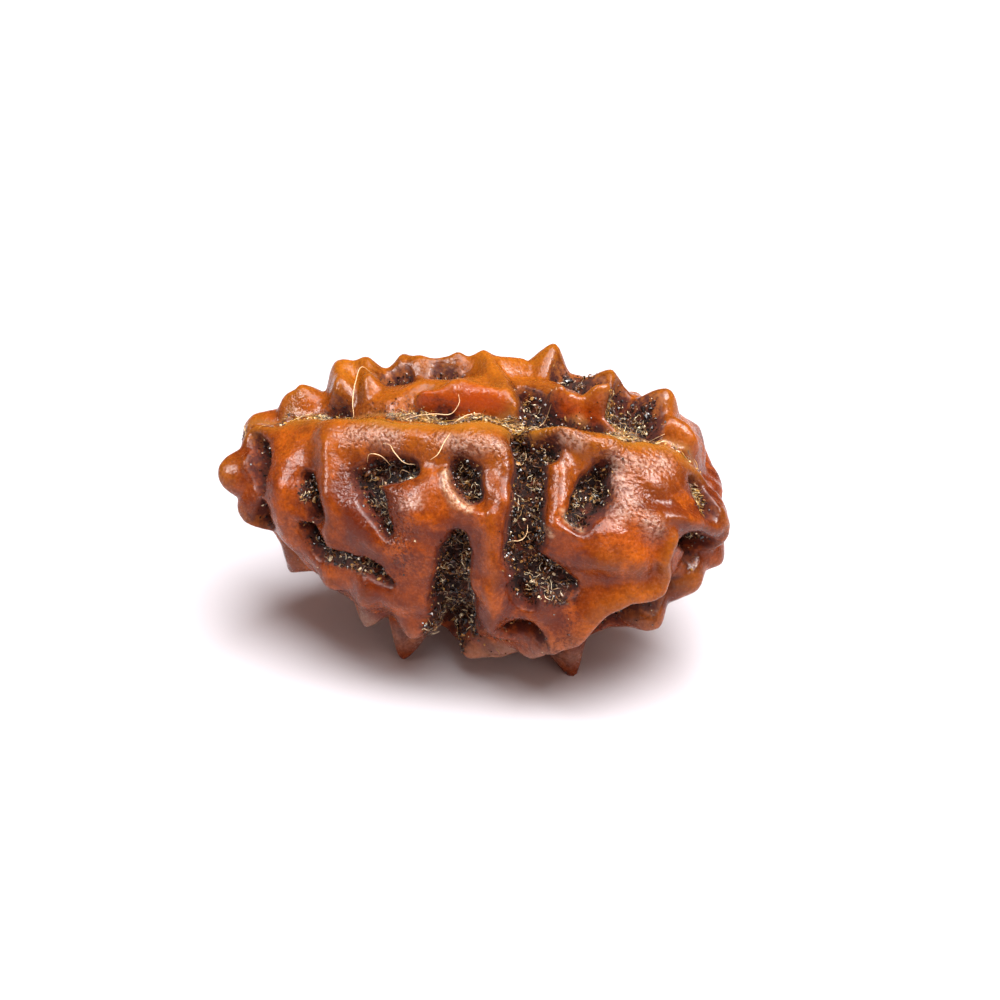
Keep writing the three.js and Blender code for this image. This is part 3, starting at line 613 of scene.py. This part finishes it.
def make_seed(relief, material):
    """The finer seed, and what is known about each of its points."""
    bm = bmesh.new()
    bmesh.ops.create_icosphere(bm, subdivisions=SPHERE_ROUNDS, radius=1)
    bmesh.ops.subdivide_edges(bm, edges=bm.edges[:], cuts=EDGE_CUTS, use_grid_fill=True)
    mesh = to_mesh(bm, "seed_finish")
    u = read(mesh.vertices, "co", 3)
    u /= np.linalg.norm(u, axis=1, keepdims=True)
    edges = read(mesh.edges, "vertices", 2, np.int32)
    for _ in range(SPREAD_ROUNDS):
        u = spread(u, edges, relief)
    points, about = fine_surface(u, relief)
    points[:, 2] = np.maximum(points[:, 2], 0)
    mesh.vertices.foreach_set("co", to_part(points).ravel())
    mesh.shade_smooth()
    for name in SKIN_ATTRIBUTES:
        add_attribute(mesh, name, about[name])
    piece = add_piece("seed_finish", mesh, material)
    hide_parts("seed")
    return piece, about


def colour(code):
    """A colour as seen on a screen, such as C0602A, as the shader's linear values."""
    shares = [int(code[i:i + 2], 16) / 255 for i in (0, 2, 4)]
    return (*[s / 12.92 if s < 0.04045 else ((s + 0.055) / 1.055) ** 2.4 for s in shares], 1)


# Colours of the skin
SKIN_ORANGE = colour("8A3C08")
SKIN_DEEP = colour("541A04")
# Painted glow: red that stands in for light shining through thin ridges
PAINTED_GLOW_RED = colour("A03604")
SKIN_BRIGHT = colour("A84E06")
# Painted light: yellow for the lit top and the ridges
PAINTED_LIGHT_YELLOW = colour("A05C10")
LIP_GOLD = colour("94601A")
# Red-brown for painted shade around and inside the pits, and for grit and the seam's crack
RIM_RED = colour("441204")
# Pale wear, which also stands for a painted highlight
WORN_HIGHLIGHT_PALE = colour("BFA382")
# Painted sheen: a pale colour that stands in for highlights, and for the floor's reflection on the low lobes
PAINTED_SHEEN = colour("B49A8A")
PIT_BROWN = colour("1C0C08")
PIT_RED = colour("52200C")
SEAM_TAN = colour("8A5E30")

BUMP_HEIGHT = 0.06
GLOW_DEPTH = 0.4  # how far light spreads under the skin


def set_inputs(node, values):
    """Gives a node's inputs values, or sockets to link to."""
    for name, value in values.items():
        if isinstance(value, bpy.types.NodeSocket):
            node.id_data.links.new(value, node.inputs[name])
        else:
            node.inputs[name].default_value = value


def add_node(tree, kind, values=None, **settings):
    """A shader node with its settings and inputs."""
    node = tree.nodes.new(kind)
    for name, value in settings.items():
        setattr(node, name, value)
    set_inputs(node, values or {})
    return node


def millimetres(tree, stretch=(1, 1, 1)):
    """Object coordinates in millimetres."""
    at = add_node(tree, "ShaderNodeTexCoord").outputs["Object"]
    scale = tuple(s / MM for s in stretch)
    return add_node(tree, "ShaderNodeVectorMath", {0: at, 1: scale}, operation="MULTIPLY").outputs[0]


def value_noise(at, scale, detail, roughness=0.5):
    inputs = {"Vector": at, "Scale": scale, "Detail": detail, "Roughness": roughness}
    return add_node(at.id_data, "ShaderNodeTexNoise", inputs).outputs["Fac"]


def between(value, low, high, out_low=0.0, out_high=1.0):
    """A value stretched smoothly from low..high to another range."""
    inputs = {"Value": value, "From Min": low, "From Max": high, "To Min": out_low, "To Max": out_high}
    node = add_node(value.id_data, "ShaderNodeMapRange", inputs, interpolation_type="SMOOTHSTEP")
    return node.outputs["Result"]


def mix(share, a, b):
    """Colour a, with a share of colour b over it."""
    return add_node(share.id_data, "ShaderNodeMix", {0: share, 6: a, 7: b}, data_type="RGBA").outputs[2]


def layered(base, *layers):
    """A colour with others over it, each by its share."""
    for share, over in layers:
        base = mix(share, base, over)
    return base


def calculate(operation, a, b):
    return add_node(a.id_data, "ShaderNodeMath", {0: a, 1: b}, operation=operation).outputs[0]


def times(a, b):
    return calculate("MULTIPLY", a, b)


def plus(a, b):
    return calculate("ADD", a, b)


def attribute(tree, name):
    return add_node(tree, "ShaderNodeAttribute", attribute_name=name).outputs["Fac"]


def new_material(name):
    """A material with its node tree and its main shader."""
    material = bpy.data.materials.new(name)
    material.use_nodes = True
    return material, material.node_tree, material.node_tree.nodes["Principled BSDF"]


def mottled_skin(on, at, grain):
    """Orange skin with darker, brighter and amber patches."""
    patches = between(value_noise(at, 0.42, 3, 0.6), 0.42, 0.66)
    mottle = between(value_noise(at, 1.6, 4, 0.62), 0.4, 0.7)
    return layered(
        mix(times(patches, 0.85), SKIN_ORANGE, SKIN_DEEP),
        (between(value_noise(at, 0.75, 3, 0.6), 0.52, 0.66, 0, 0.7), SKIN_BRIGHT),
        (times(on["amber"], 0.5), SKIN_BRIGHT),
        (times(mottle, 0.6), SKIN_DEEP),
        (between(grain, 0.5, 0.66, 0, 0.4), SKIN_DEEP),
    )


def lobes_with_painted_light(on, base, height):
    """Painted light: the top and the ridges are yellower as if lit from above, and the low lobes get a
    painted sheen for the floor's reflection.
    """
    raised = times(between(on["rise"], 0.15, 0.8, 0, 0.6), between(height, 1.0, 7.0))
    low = times(between(height, 0.2, 1.1), between(height, 4.5, 2.0))
    return layered(
        base,
        # painted light on the top and on the ridges
        (between(height, 8.0, 12.0, 0, 0.5), PAINTED_LIGHT_YELLOW),
        (raised, PAINTED_LIGHT_YELLOW),
        # painted reflection of the floor on the low lobes
        (times(between(on["rise"], 0.1, 0.7, 0, 0.3), low), PAINTED_SHEEN),
    )


def marked_places(on, base, grain, pebbles, ragged, wear_and_highlight):
    """Painted shade in the cavities, speckles, a painted red glow, dark rims of painted shade, the golden
    lip, a pale painted highlight and the seams' dust.
    """
    # painted shade in the cavities between the pebbles, stronger where it is sandy
    cavity_shade = between(on["sandy"], 0, 1, 0.3, 0.6)
    speckles = times(between(grain, 0.52, 0.6), on["gritty"])
    # painted shade around the pits
    pit_rim_shade = times(on["pit_rim_shade"], between(ragged, -0.28, 0.28, 0.4, 1.0))
    return layered(
        base,
        (times(between(pebbles, 0.5, 0.36), cavity_shade), SKIN_DEEP),
        (times(speckles, 0.8), RIM_RED),
        # painted glow
        (times(on["painted_glow"], 0.75), PAINTED_GLOW_RED),
        (calculate("SUBTRACT", pit_rim_shade, wear_and_highlight), RIM_RED),
        (times(on["lip"], 0.8), LIP_GOLD),
        # painted highlight on the pebbles
        (times(on["painted_highlight"], between(pebbles, 0.38, 0.62, 0.05, 0.5)), PAINTED_SHEEN),
        (times(on["dust"], 0.6), SEAM_TAN),
    )


def skin_colour(on, at, height, grain, pebbles):
    """Mottled orange skin: ridges golden with painted light, rims red-brown with painted shade, painted shade
    down the pit walls, golden seam lips, near-black pits.
    """
    ragged = between(value_noise(at, 3.2, 4, 0.7), 0.32, 0.68, -0.28, 0.28)
    depth = plus(on["depth"], times(ragged, between(on["depth"], 0.0, 0.2)))
    wear_and_highlight = times(on["wear_and_highlight"], between(grain, 0.38, 0.6, 0.1, 1))
    earth = mix(between(value_noise(at, 2.4, 4, 0.7), 0.46, 0.66), PIT_BROWN, PIT_RED)
    base = lobes_with_painted_light(on, mottled_skin(on, at, grain), height)
    return layered(
        marked_places(on, base, grain, pebbles, ragged, wear_and_highlight),
        (between(on["seam"], 0.08, 0.03, 0, 0.7), RIM_RED),
        # painted shade down the pit walls
        (between(depth, 0.02, 0.34, 0, 0.9), RIM_RED),
        # wear, together with a painted highlight
        (times(wear_and_highlight, 0.75), WORN_HIGHLIGHT_PALE),
        (between(plus(on["soiled"], ragged), 0.2, 0.6, 0, 0.85), earth),
        (between(depth, 0.34, 0.7), earth),
    )


def skin_bumps(on, grain, pebbles, wrinkles):
    """The finest relief: pebbles, higher where it is sandy, wrinkles and grain."""
    pebbles = times(pebbles, between(on["sandy"], 0, 1, 0.35, 1.5))
    wrinkles = times(wrinkles, times(on["wrinkled"], 2.2))
    return plus(plus(pebbles, wrinkles), times(grain, 0.2))


def skin_material():
    """Satin skin with light in it, matt in the pits."""
    material, tree, shader = new_material("seed_skin")
    on = {name: attribute(tree, name) for name in SKIN_ATTRIBUTES}
    at = millimetres(tree)
    height = add_node(tree, "ShaderNodeSeparateXYZ", {"Vector": at}).outputs["Z"]
    grain = value_noise(at, 8.5, 3, 0.65)
    pebbles = value_noise(at, 7.5, 1.5, 0.45)
    wrinkles = value_noise(millimetres(tree, (2.2, 8, 6)), 1, 2)
    in_pit = between(plus(on["depth"], times(on["soiled"], 0.2)), 0.0, 0.12)
    bumps = skin_bumps(on, grain, pebbles, wrinkles)
    bump = add_node(tree, "ShaderNodeBump", {"Height": bumps, "Strength": 1.0, "Distance": BUMP_HEIGHT * MM})
    set_inputs(shader, {
        "Base Color": skin_colour(on, at, height, grain, pebbles),
        "Roughness": plus(between(grain, 0.3, 0.7, 0.3, 0.19), times(in_pit, 0.6)),
        "IOR": 1.5,
        "Specular IOR Level": 0.22,
        "Subsurface Weight": 0.1,
        "Subsurface Radius": (1.0, 0.3, 0.08),
        "Subsurface Scale": GLOW_DEPTH * MM,
        "Normal": bump.outputs["Normal"],
    })
    return material


# Crumbs, fibres and hairs. A pair is the least and the most.
LITTER_SEED = 11
LITTER = {
    "pit_crumbs": {"count": 5000, "size": (0.035, 0.095)},
    "pit_grit": {"count": 20000, "size": (0.016, 0.042)},
    "seam_crumbs": {"count": 2400, "size": (0.022, 0.06)},
    "pit_fibres": {"count": 4200, "length": (0.12, 0.4), "radius": (0.009, 0.021), "along": 1, "up": 0.9},
    "seam_fibres": {"count": 2200, "length": (0.2, 0.6), "radius": (0.01, 0.02), "along": 3, "up": 0.25},
}  # along is how much fibres keep to the seed's length, 1 for any way, and up is how much they stand up

CRUMB_SHAPES = 5
CRUMB_CORNERS = (0.7, 0.6)  # a corner's least way out, and how much more at most
CRUMB_SQUEEZE = (0.7, 1.0)
CRUMB_STRETCH = (1.0, 2.2)
CRUMB_LIFT = 0.8  # of its size, at most
GRIT_SHAPES = 6
GRIT_CORNERS = (0.6, 0.7)
GRIT_TIP = 0.45  # width of a splinter's thin end
FIBRE_SHAPES = 6
FIBRE_STEPS = 5
FIBRE_BEND = 0.25  # for a fibre of length 1
FIBRE_RADIUS = 0.05
FIBRE_LIFT = (0.02, 0.08)
FIBRE_RAISED = 0.3  # of its length, for a fibre that stands up
THREAD_TIP = 0.4  # width of a thread's ends
THREAD_TAPER = 1.2
HAIR_RADIUS = 0.02
HAIR_STEPS = 5  # between two places

# Where litter lies: how much of it, and over what distance
PATCHES = (1.8, 30)  # length and kind of the variation
CLUMPS = (0.7, 40)
BETWEEN_CLUMPS = 0.25
ON_SOIL = 0.85
ON_SEAM = 0.25
SEAM_BAND = (0.08, 0.1)  # middle and half width of the litter along a seam
LESS_IN_PITS = 0.7  # of the litter along a seam
SPILLED = (0.3, 0.12)
ON_GRITTY = 0.05
GRITTY_SEAM = (0.4, 0.9)

# Colours of litter, with the tint from which each counts
DARK_TINTS = [(0.0, "160A07"), (0.45, "42200F"), (0.7, "70421E"), (0.86, "A0743E"), (0.95, "DCC8A0")]
GOLD_TINTS = [(0.0, "2E180C"), (0.25, "80501F"), (0.55, "C08E3A"), (0.85, "E8D2A0")]
BROWN_TINTS = [(0.0, "3A2010"), (0.4, "6E4424"), (0.66, "A88454"), (0.85, "E6D2AA")]
HAIR_COLOUR = "DDB684"

# Loose hairs: the places that each runs through, with its height above the skin there
HAIRS = [
    [(-3.7, 93, 0.02), (-4.15, 90, 0.3), (-4.45, 86, 0.45), (-4.6, 82, 0.4), (-4.65, 78, 0.3),
     (-4.6, 73, 0.2), (-4.5, 68, 0.02)],
    [(-0.4, 75, 0.02), (-0.35, 72.5, 0.15), (-0.7, 71, 0.3), (-1.3, 70, 0.4), (-1.9, 68, 0.3),
     (-2.5, 66, 0.05)],
    [(0.5, 70, 0.1), (0.0, 69, 0.2), (-0.4, 66, 0.15), (-0.4, 62, 0.02)],
    [(-0.4, 57, 0.02), (-0.6, 53, 0.05), (-0.8, 49, 0.05), (-1.1, 47, 0.02)],
    [(-3.0, 53, 0.02), (-2.7, 52, 0.06), (-2.5, 49, 0.3), (-2.2, 46, 0.8), (-1.8, 46, 0.4)],
    [(2.4, 61, 0.02), (2.5, 58, 0.1), (2.5, 55, 0.2)],
    [(2.85, 22, 0.25), (2.85, 18.5, 0.35), (2.75, 15.5, 0.4), (2.55, 13.8, 0.4), (2.3, 13.5, 0.35),
     (2.1, 14.5, 0.25)],
    [(-3.7, 45, 0.5), (-3.5, 48, 0.5), (-3.1, 48, 0.5), (-2.9, 46, 0.3)],
    [(-2.5, 42, 0.3), (-2.4, 44, 0.4), (-2.1, 43, 0.3)],
    [(2.8, 71, 0.3), (3.0, 75, 0.2), (3.1, 79, 0.02)],
    [(6.7, 76, 0.2), (7.0, 80, 0.3), (7.4, 82, 0.1)],
]


def surface_samples(mesh, wanted, count, rng):
    """Random places on a triangle mesh where wanted is above 0, more of them where it is higher."""
    corners = read(mesh.polygons, "vertices", 3, np.int32)
    co = read(mesh.vertices, "co", 3)
    a, b, c = (co[corners[:, k]] for k in range(3))
    cross = np.cross(b - a, c - a)
    area = np.linalg.norm(cross, axis=1)
    chance = area * np.maximum(wanted[corners].mean(axis=1), 0)
    picked = rng.choice(len(corners), count, p=chance / chance.sum())
    s, t = rng.random(count), rng.random(count)
    s, t = np.where(s + t > 1, 1 - s, s), np.where(s + t > 1, 1 - t, t)
    points = a[picked] + s[:, None] * (b - a)[picked] + t[:, None] * (c - a)[picked]
    return points, cross[picked] / area[picked][:, None]


def crumb_shape(rng):
    """A small lump with uneven sides, of 20 faces."""
    bm = bmesh.new()
    bmesh.ops.create_icosphere(bm, subdivisions=1, radius=1)
    for vertex in bm.verts:
        vertex.co *= CRUMB_CORNERS[0] + CRUMB_CORNERS[1] * rng.random()
    return to_mesh(bm, "crumb_shape")


def grit_shape(rng):
    """A splinter with three uneven sides."""
    bm = bmesh.new()
    bmesh.ops.create_cone(bm, cap_ends=True, segments=3, radius1=1, radius2=GRIT_TIP, depth=2)
    for vertex in bm.verts:
        vertex.co *= GRIT_CORNERS[0] + GRIT_CORNERS[1] * rng.random()
    bmesh.ops.triangulate(bm, faces=bm.faces[:])
    return to_mesh(bm, "grit_shape")


def thread(bm, path, radius, sides):
    """A closed tube along a list of points, thinner at both ends."""
    path = [Vector(p) for p in path]
    heading = (path[1] - path[0]).normalized()
    turn = Vector((0, 0, 1)).rotation_difference(heading).to_matrix().to_4x4()
    ring = bmesh.ops.create_circle(bm, cap_ends=True, segments=sides, radius=radius * THREAD_TIP,
                                   matrix=Matrix.Translation(path[0]) @ turn)
    face = ring["verts"][0].link_faces[0]
    width = THREAD_TIP
    for i in range(1, len(path)):
        made = bmesh.ops.extrude_face_region(bm, geom=[face])["geom"]
        face = next(item for item in made if isinstance(item, bmesh.types.BMFace))
        verts = list(face.verts)
        ahead = (path[min(i + 1, len(path) - 1)] - path[i - 1]).normalized()
        bend = heading.rotation_difference(ahead).to_matrix()
        from_tip = min(i, len(path) - 1 - i)
        wider = min(1, THREAD_TIP + THREAD_TAPER * from_tip / len(path)) / width
        width *= wider
        bmesh.ops.rotate(bm, verts=verts, cent=path[i - 1], matrix=bend)
        bmesh.ops.scale(bm, verts=verts, vec=(wider,) * 3, space=Matrix.Translation(-path[i - 1]))
        bmesh.ops.translate(bm, verts=verts, vec=path[i] - path[i - 1])
        heading = ahead
    bmesh.ops.recalc_face_normals(bm, faces=bm.faces[:])


def fibre_shape(rng):
    """A short curled fibre of length 1 along X."""
    bm = bmesh.new()
    bend, sway = rng.uniform(-FIBRE_BEND, FIBRE_BEND), rng.uniform(-FIBRE_BEND / 2, FIBRE_BEND / 2)
    path = []
    for i in range(FIBRE_STEPS + 1):
        t = i / FIBRE_STEPS
        path.append((t - 0.5, bend * math.sin(math.pi * t), sway * math.sin(2 * math.pi * t)))
    thread(bm, path, FIBRE_RADIUS, 3)
    return to_mesh(bm, "fibre_shape")


def scattered(name, shapes, matrices, tints, material):
    """One piece of many copies, each with a tint of its own."""
    bm = bmesh.new()
    for i, matrix in enumerate(matrices):
        copy = shapes[i % len(shapes)].copy()
        copy.transform(matrix)
        bm.from_mesh(copy)
        bpy.data.meshes.remove(copy)
    mesh = to_mesh(bm, name)
    sizes = [len(shapes[i % len(shapes)].vertices) for i in range(len(matrices))]
    add_attribute(mesh, "tint", np.repeat(tints, sizes))
    add_piece(name, mesh, material)


def add_crumbs(name, seed, wanted, shapes, material, rng):
    """Crumbs that lie loosely on the seed, partly one over another."""
    kind = LITTER[name]
    matrices = []
    for point, normal in zip(*surface_samples(seed.data, wanted, kind["count"], rng)):
        size = rng.uniform(*kind["size"]) * MM
        stretch = rng.uniform(*CRUMB_SQUEEZE, 3) * (rng.uniform(*CRUMB_STRETCH), 1, 1)
        spin = Matrix.Rotation(rng.uniform(0, 6.28), 4, Vector(rng.normal(size=3)).normalized())
        shift = Matrix.Translation(Vector(point + normal * size * rng.uniform(0, CRUMB_LIFT)))
        matrices.append(shift @ spin @ Matrix.Diagonal((*(stretch * size), 1)))
    scattered(name, shapes, matrices, rng.random(kind["count"]), material)


def add_fibres(name, seed, wanted, shapes, material, rng):
    """Fibres on the seed, flat on it or standing up."""
    kind = LITTER[name]
    matrices = []
    for point, normal in zip(*surface_samples(seed.data, wanted, kind["count"], rng)):
        length = rng.uniform(*kind["length"]) * MM
        radius = rng.uniform(*kind["radius"]) * MM / FIBRE_RADIUS
        across = rng.normal(size=3) * (kind["along"], 1, 1)
        across -= normal * (across @ normal)
        across /= np.linalg.norm(across)
        heading = Vector(across + normal * kind["up"] * rng.uniform(0, 1)).normalized()
        turn = heading.to_track_quat("X", "Z").to_matrix().to_4x4()
        lift = rng.uniform(*FIBRE_LIFT) * MM + FIBRE_RAISED * kind["up"] * length
        shift = Matrix.Translation(Vector(point + normal * lift))
        matrices.append(shift @ turn @ Matrix.Diagonal((length, radius, radius, 1)))
    scattered(name, shapes, matrices, rng.random(kind["count"]), material)


def add_hairs(relief, material):
    bm = bmesh.new()
    for nodes in HAIRS:
        u = np.concatenate([direction(x, degrees) for x, degrees, _ in nodes])
        points, about = seed_surface(u, relief)
        points = points + about["normal"] * np.array([[lift] for _, _, lift in nodes])
        thread(bm, to_part(rounded_line(points)), HAIR_RADIUS * MM, 6)
    mesh = to_mesh(bm, "loose_hairs")
    mesh.shade_smooth()
    add_piece("loose_hairs", mesh, material)


def rounded_line(points):
    """A smooth line through points."""
    ends = np.concatenate([[2 * points[0] - points[1]], points, [2 * points[-1] - points[-2]]])
    path = []
    for a, b, c, d in zip(ends, ends[1:], ends[2:], ends[3:]):
        for step in range(HAIR_STEPS):
            t = step / HAIR_STEPS
            path.append(b + 0.5 * t * (c - a + t * (2 * a - 5 * b + 4 * c - d + t * (3 * (b - c) + d - a))))
    path.append(points[-1])
    return np.array(path)


def uneven_tone():
    """Shared by the crumbs and fibres: a colour made darker and lighter from place to place."""
    tree = bpy.data.node_groups.new("uneven_tone", "ShaderNodeTree")
    tree.interface.new_socket(name="Color", in_out="INPUT", socket_type="NodeSocketColor")
    tree.interface.new_socket(name="Color", in_out="OUTPUT", socket_type="NodeSocketColor")
    start = tree.nodes.new("NodeGroupInput")
    tone = between(value_noise(millimetres(tree), 12, 2), 0.3, 0.7, 0.65, 1.2)
    shade = add_node(tree, "ShaderNodeHueSaturation", {"Color": start.outputs["Color"], "Value": tone})
    add_node(tree, "NodeGroupOutput", {"Color": shade.outputs["Color"]})
    return tree


def litter_material(name, colours, roughness, tone_group):
    """Colours with the tint from which each counts."""
    material, tree, shader = new_material(name)
    ramp = add_node(tree, "ShaderNodeValToRGB", {"Fac": attribute(tree, "tint")})
    ramp.color_ramp.interpolation = "CONSTANT"
    for i, (start, code) in enumerate(colours):
        stop = ramp.color_ramp.elements[0] if i == 0 else ramp.color_ramp.elements.new(start)
        stop.position = start
        stop.color = colour(code)
    tone = add_node(tree, "ShaderNodeGroup", {"Color": ramp.outputs["Color"]}, node_tree=tone_group)
    set_inputs(shader, {"Base Color": tone.outputs["Color"], "Roughness": roughness})
    return material


def litter_places(about):
    """How much dark crumbs, grit, golden litter and fibres are wanted at each point."""
    pit = np.maximum(about["pit"], ON_SOIL * past(about["soiled"], 0, 0.6))
    patches = lumps(about["warped"], *PATCHES)
    clumps = BETWEEN_CLUMPS + past(lumps(about["warped"], *CLUMPS), -0.35, 0.5)
    on_seam = np.exp(-(((about["seam"] - SEAM_BAND[0]) / SEAM_BAND[1]) ** 2))
    on_seam *= past(about["valley"], 0.5, -0.2)
    on_seam *= past(patches, -0.1, 0.3) * (1 - LESS_IN_PITS * pit)
    golden = ON_SEAM * about["in_view"] * on_seam + past(about["golden"], 0, 0.6)
    golden *= past(about["seam"], 0.06, 0.08)
    spilled = SPILLED[0] * np.exp(-np.maximum(about["edge"], 0) / SPILLED[1]) * past(patches, -0.3, 0.5)
    near_seam = GRITTY_SEAM[0] * np.exp(-((about["seam"] / GRITTY_SEAM[1]) ** 2))
    spilled += (ON_GRITTY + near_seam) * about["gritty"]
    grit = np.maximum(past(pit, 0.1, 0.4) * clumps, spilled)
    return past(pit, 0.3, 0.5) * clumps, grit, golden, past(pit, 0.5, 0.4) * clumps


def add_litter(seed, about, relief):
    """Crumbs and fibres in the pits and along the seams, and loose hairs."""
    rng = np.random.default_rng(LITTER_SEED)
    tone = uneven_tone()
    dark = litter_material("pit_crumb", DARK_TINTS, 0.25, tone)
    gold = litter_material("seam_crumb", GOLD_TINTS, 0.45, tone)
    brown = litter_material("pit_fibre", BROWN_TINTS, 0.4, tone)
    crumbs = [crumb_shape(rng) for _ in range(CRUMB_SHAPES)]
    splinters = [grit_shape(rng) for _ in range(GRIT_SHAPES)]
    curls = [fibre_shape(rng) for _ in range(FIBRE_SHAPES)]
    pit_floors, grit, golden, deep_floors = litter_places(about)
    add_crumbs("pit_crumbs", seed, pit_floors, crumbs, dark, rng)
    add_crumbs("pit_grit", seed, grit, splinters, dark, rng)
    add_crumbs("seam_crumbs", seed, golden, crumbs, gold, rng)
    add_fibres("pit_fibres", seed, deep_floors, curls, brown, rng)
    add_fibres("seam_fibres", seed, golden, curls, gold, rng)
    hair, _, shader = new_material("loose_hair")
    set_inputs(shader, {"Base Color": colour(HAIR_COLOUR), "Roughness": 0.4})
    add_hairs(relief, hair)


def make_camera():
    """The photo's camera, placed by where the egg's middle is in the picture."""
    azimuth, elevation = math.radians(CAMERA_AZIMUTH), math.radians(CAMERA_ELEVATION)
    back = Vector((math.sin(azimuth) * math.cos(elevation), -math.cos(azimuth) * math.cos(elevation),
                   math.sin(elevation)))
    right = Vector((math.cos(azimuth), math.sin(azimuth), 0))
    up = back.cross(right)
    data = bpy.data.cameras.new("camera")
    data.lens = LENS
    data.sensor_width = SENSOR
    data.clip_start = MM
    camera = add_object("camera", data)
    pixel = CAMERA_DISTANCE * SENSOR / LENS / PICTURE_PIXELS
    middle = Vector((-OUTLINE_MIDDLE[0], -OUTLINE_MIDDLE[1], AXIS_HEIGHT))
    aim = middle - right * (EGG_MIDDLE_PIXEL[0] - PICTURE_PIXELS / 2) * pixel
    aim += up * (EGG_MIDDLE_PIXEL[1] - PICTURE_PIXELS / 2) * pixel
    camera.location = (aim + back * CAMERA_DISTANCE) * MM
    camera.rotation_mode = "QUATERNION"
    camera.rotation_quaternion = back.to_track_quat("Z", "Y")
    bpy.context.scene.camera = camera


# Floor and light
ROOM_LIGHT = (0.27, 0.154, 0.13, 1)  # what the surroundings shine on the seed
BACKDROP = (0.93, 0.93, 0.95, 1)  # what the camera sees of them
BLACK = (0, 0, 0, 1)
PAPER = colour("C8C5C8")
FLOOR_HALF = 350
FADE = (65, 150)  # how far from the seed the floor starts and ends to fade
NEUTRAL = (1.0, 0.98, 0.97)
COOL = (0.97, 0.98, 1.0)
ROSY = (1.0, 0.75, 0.68)


def floor_material():
    """Pale paper that fades into the backdrop far from the seed, so that no edge of it shows."""
    material, tree, shader = new_material("floor")
    at = add_node(tree, "ShaderNodeTexCoord").outputs["Object"]
    away = add_node(tree, "ShaderNodeVectorMath", {0: at}, operation="LENGTH").outputs["Value"]
    fade = between(away, FADE[0] * MM, FADE[1] * MM)
    set_inputs(shader, {
        "Base Color": mix(fade, PAPER, BLACK),
        "Emission Color": mix(fade, BLACK, BACKDROP),
        "Emission Strength": 1.0,
        "Roughness": 0.8,
    })
    return material


def make_floor():
    bm = bmesh.new()
    bmesh.ops.create_grid(bm, x_segments=1, y_segments=1, size=FLOOR_HALF * MM)
    mesh = to_mesh(bm, "floor")
    floor = add_object("floor", mesh)
    mesh.materials.append(floor_material())


def add_light(name, at, size, power, tint, lights=True, glints=True):
    """A square light that points at the seed. It may light nothing matt, or show in no glint."""
    data = bpy.data.lights.new(name, "AREA")
    data.size = size * MM
    data.energy = power
    data.color = tint
    light = add_object(name, data)
    light.location = Vector(at) * MM
    light.rotation_euler = light.location.to_track_quat("Z", "Y").to_euler()
    light.visible_diffuse = lights
    light.visible_glossy = glints


def light_scene():
    """Soft light from above, glints from both sides, and a faint rosy light from the right."""
    world = bpy.data.worlds.new("studio")
    bpy.context.scene.world = world
    world.use_nodes = True
    tree = world.node_tree
    seen = add_node(tree, "ShaderNodeLightPath").outputs["Is Camera Ray"]
    set_inputs(tree.nodes["Background"], {"Color": mix(seen, ROOM_LIGHT, BACKDROP)})
    add_light("top", (45, -35, 215), 200, 1.5, COOL)
    add_light("left", (-150, -105, 155), 95, 0.9, NEUTRAL, lights=False)
    add_light("right", (150, -50, 180), 95, 1.2, NEUTRAL, lights=False)
    add_light("fill", (150, -150, 80), 160, 0.15, ROSY, glints=False)
    bpy.context.scene.view_settings.view_transform = "Standard"


make_camera()
relief = all_relief()
seed, about = make_seed(relief, skin_material())
add_litter(seed, about, relief)
make_floor()
light_scene()
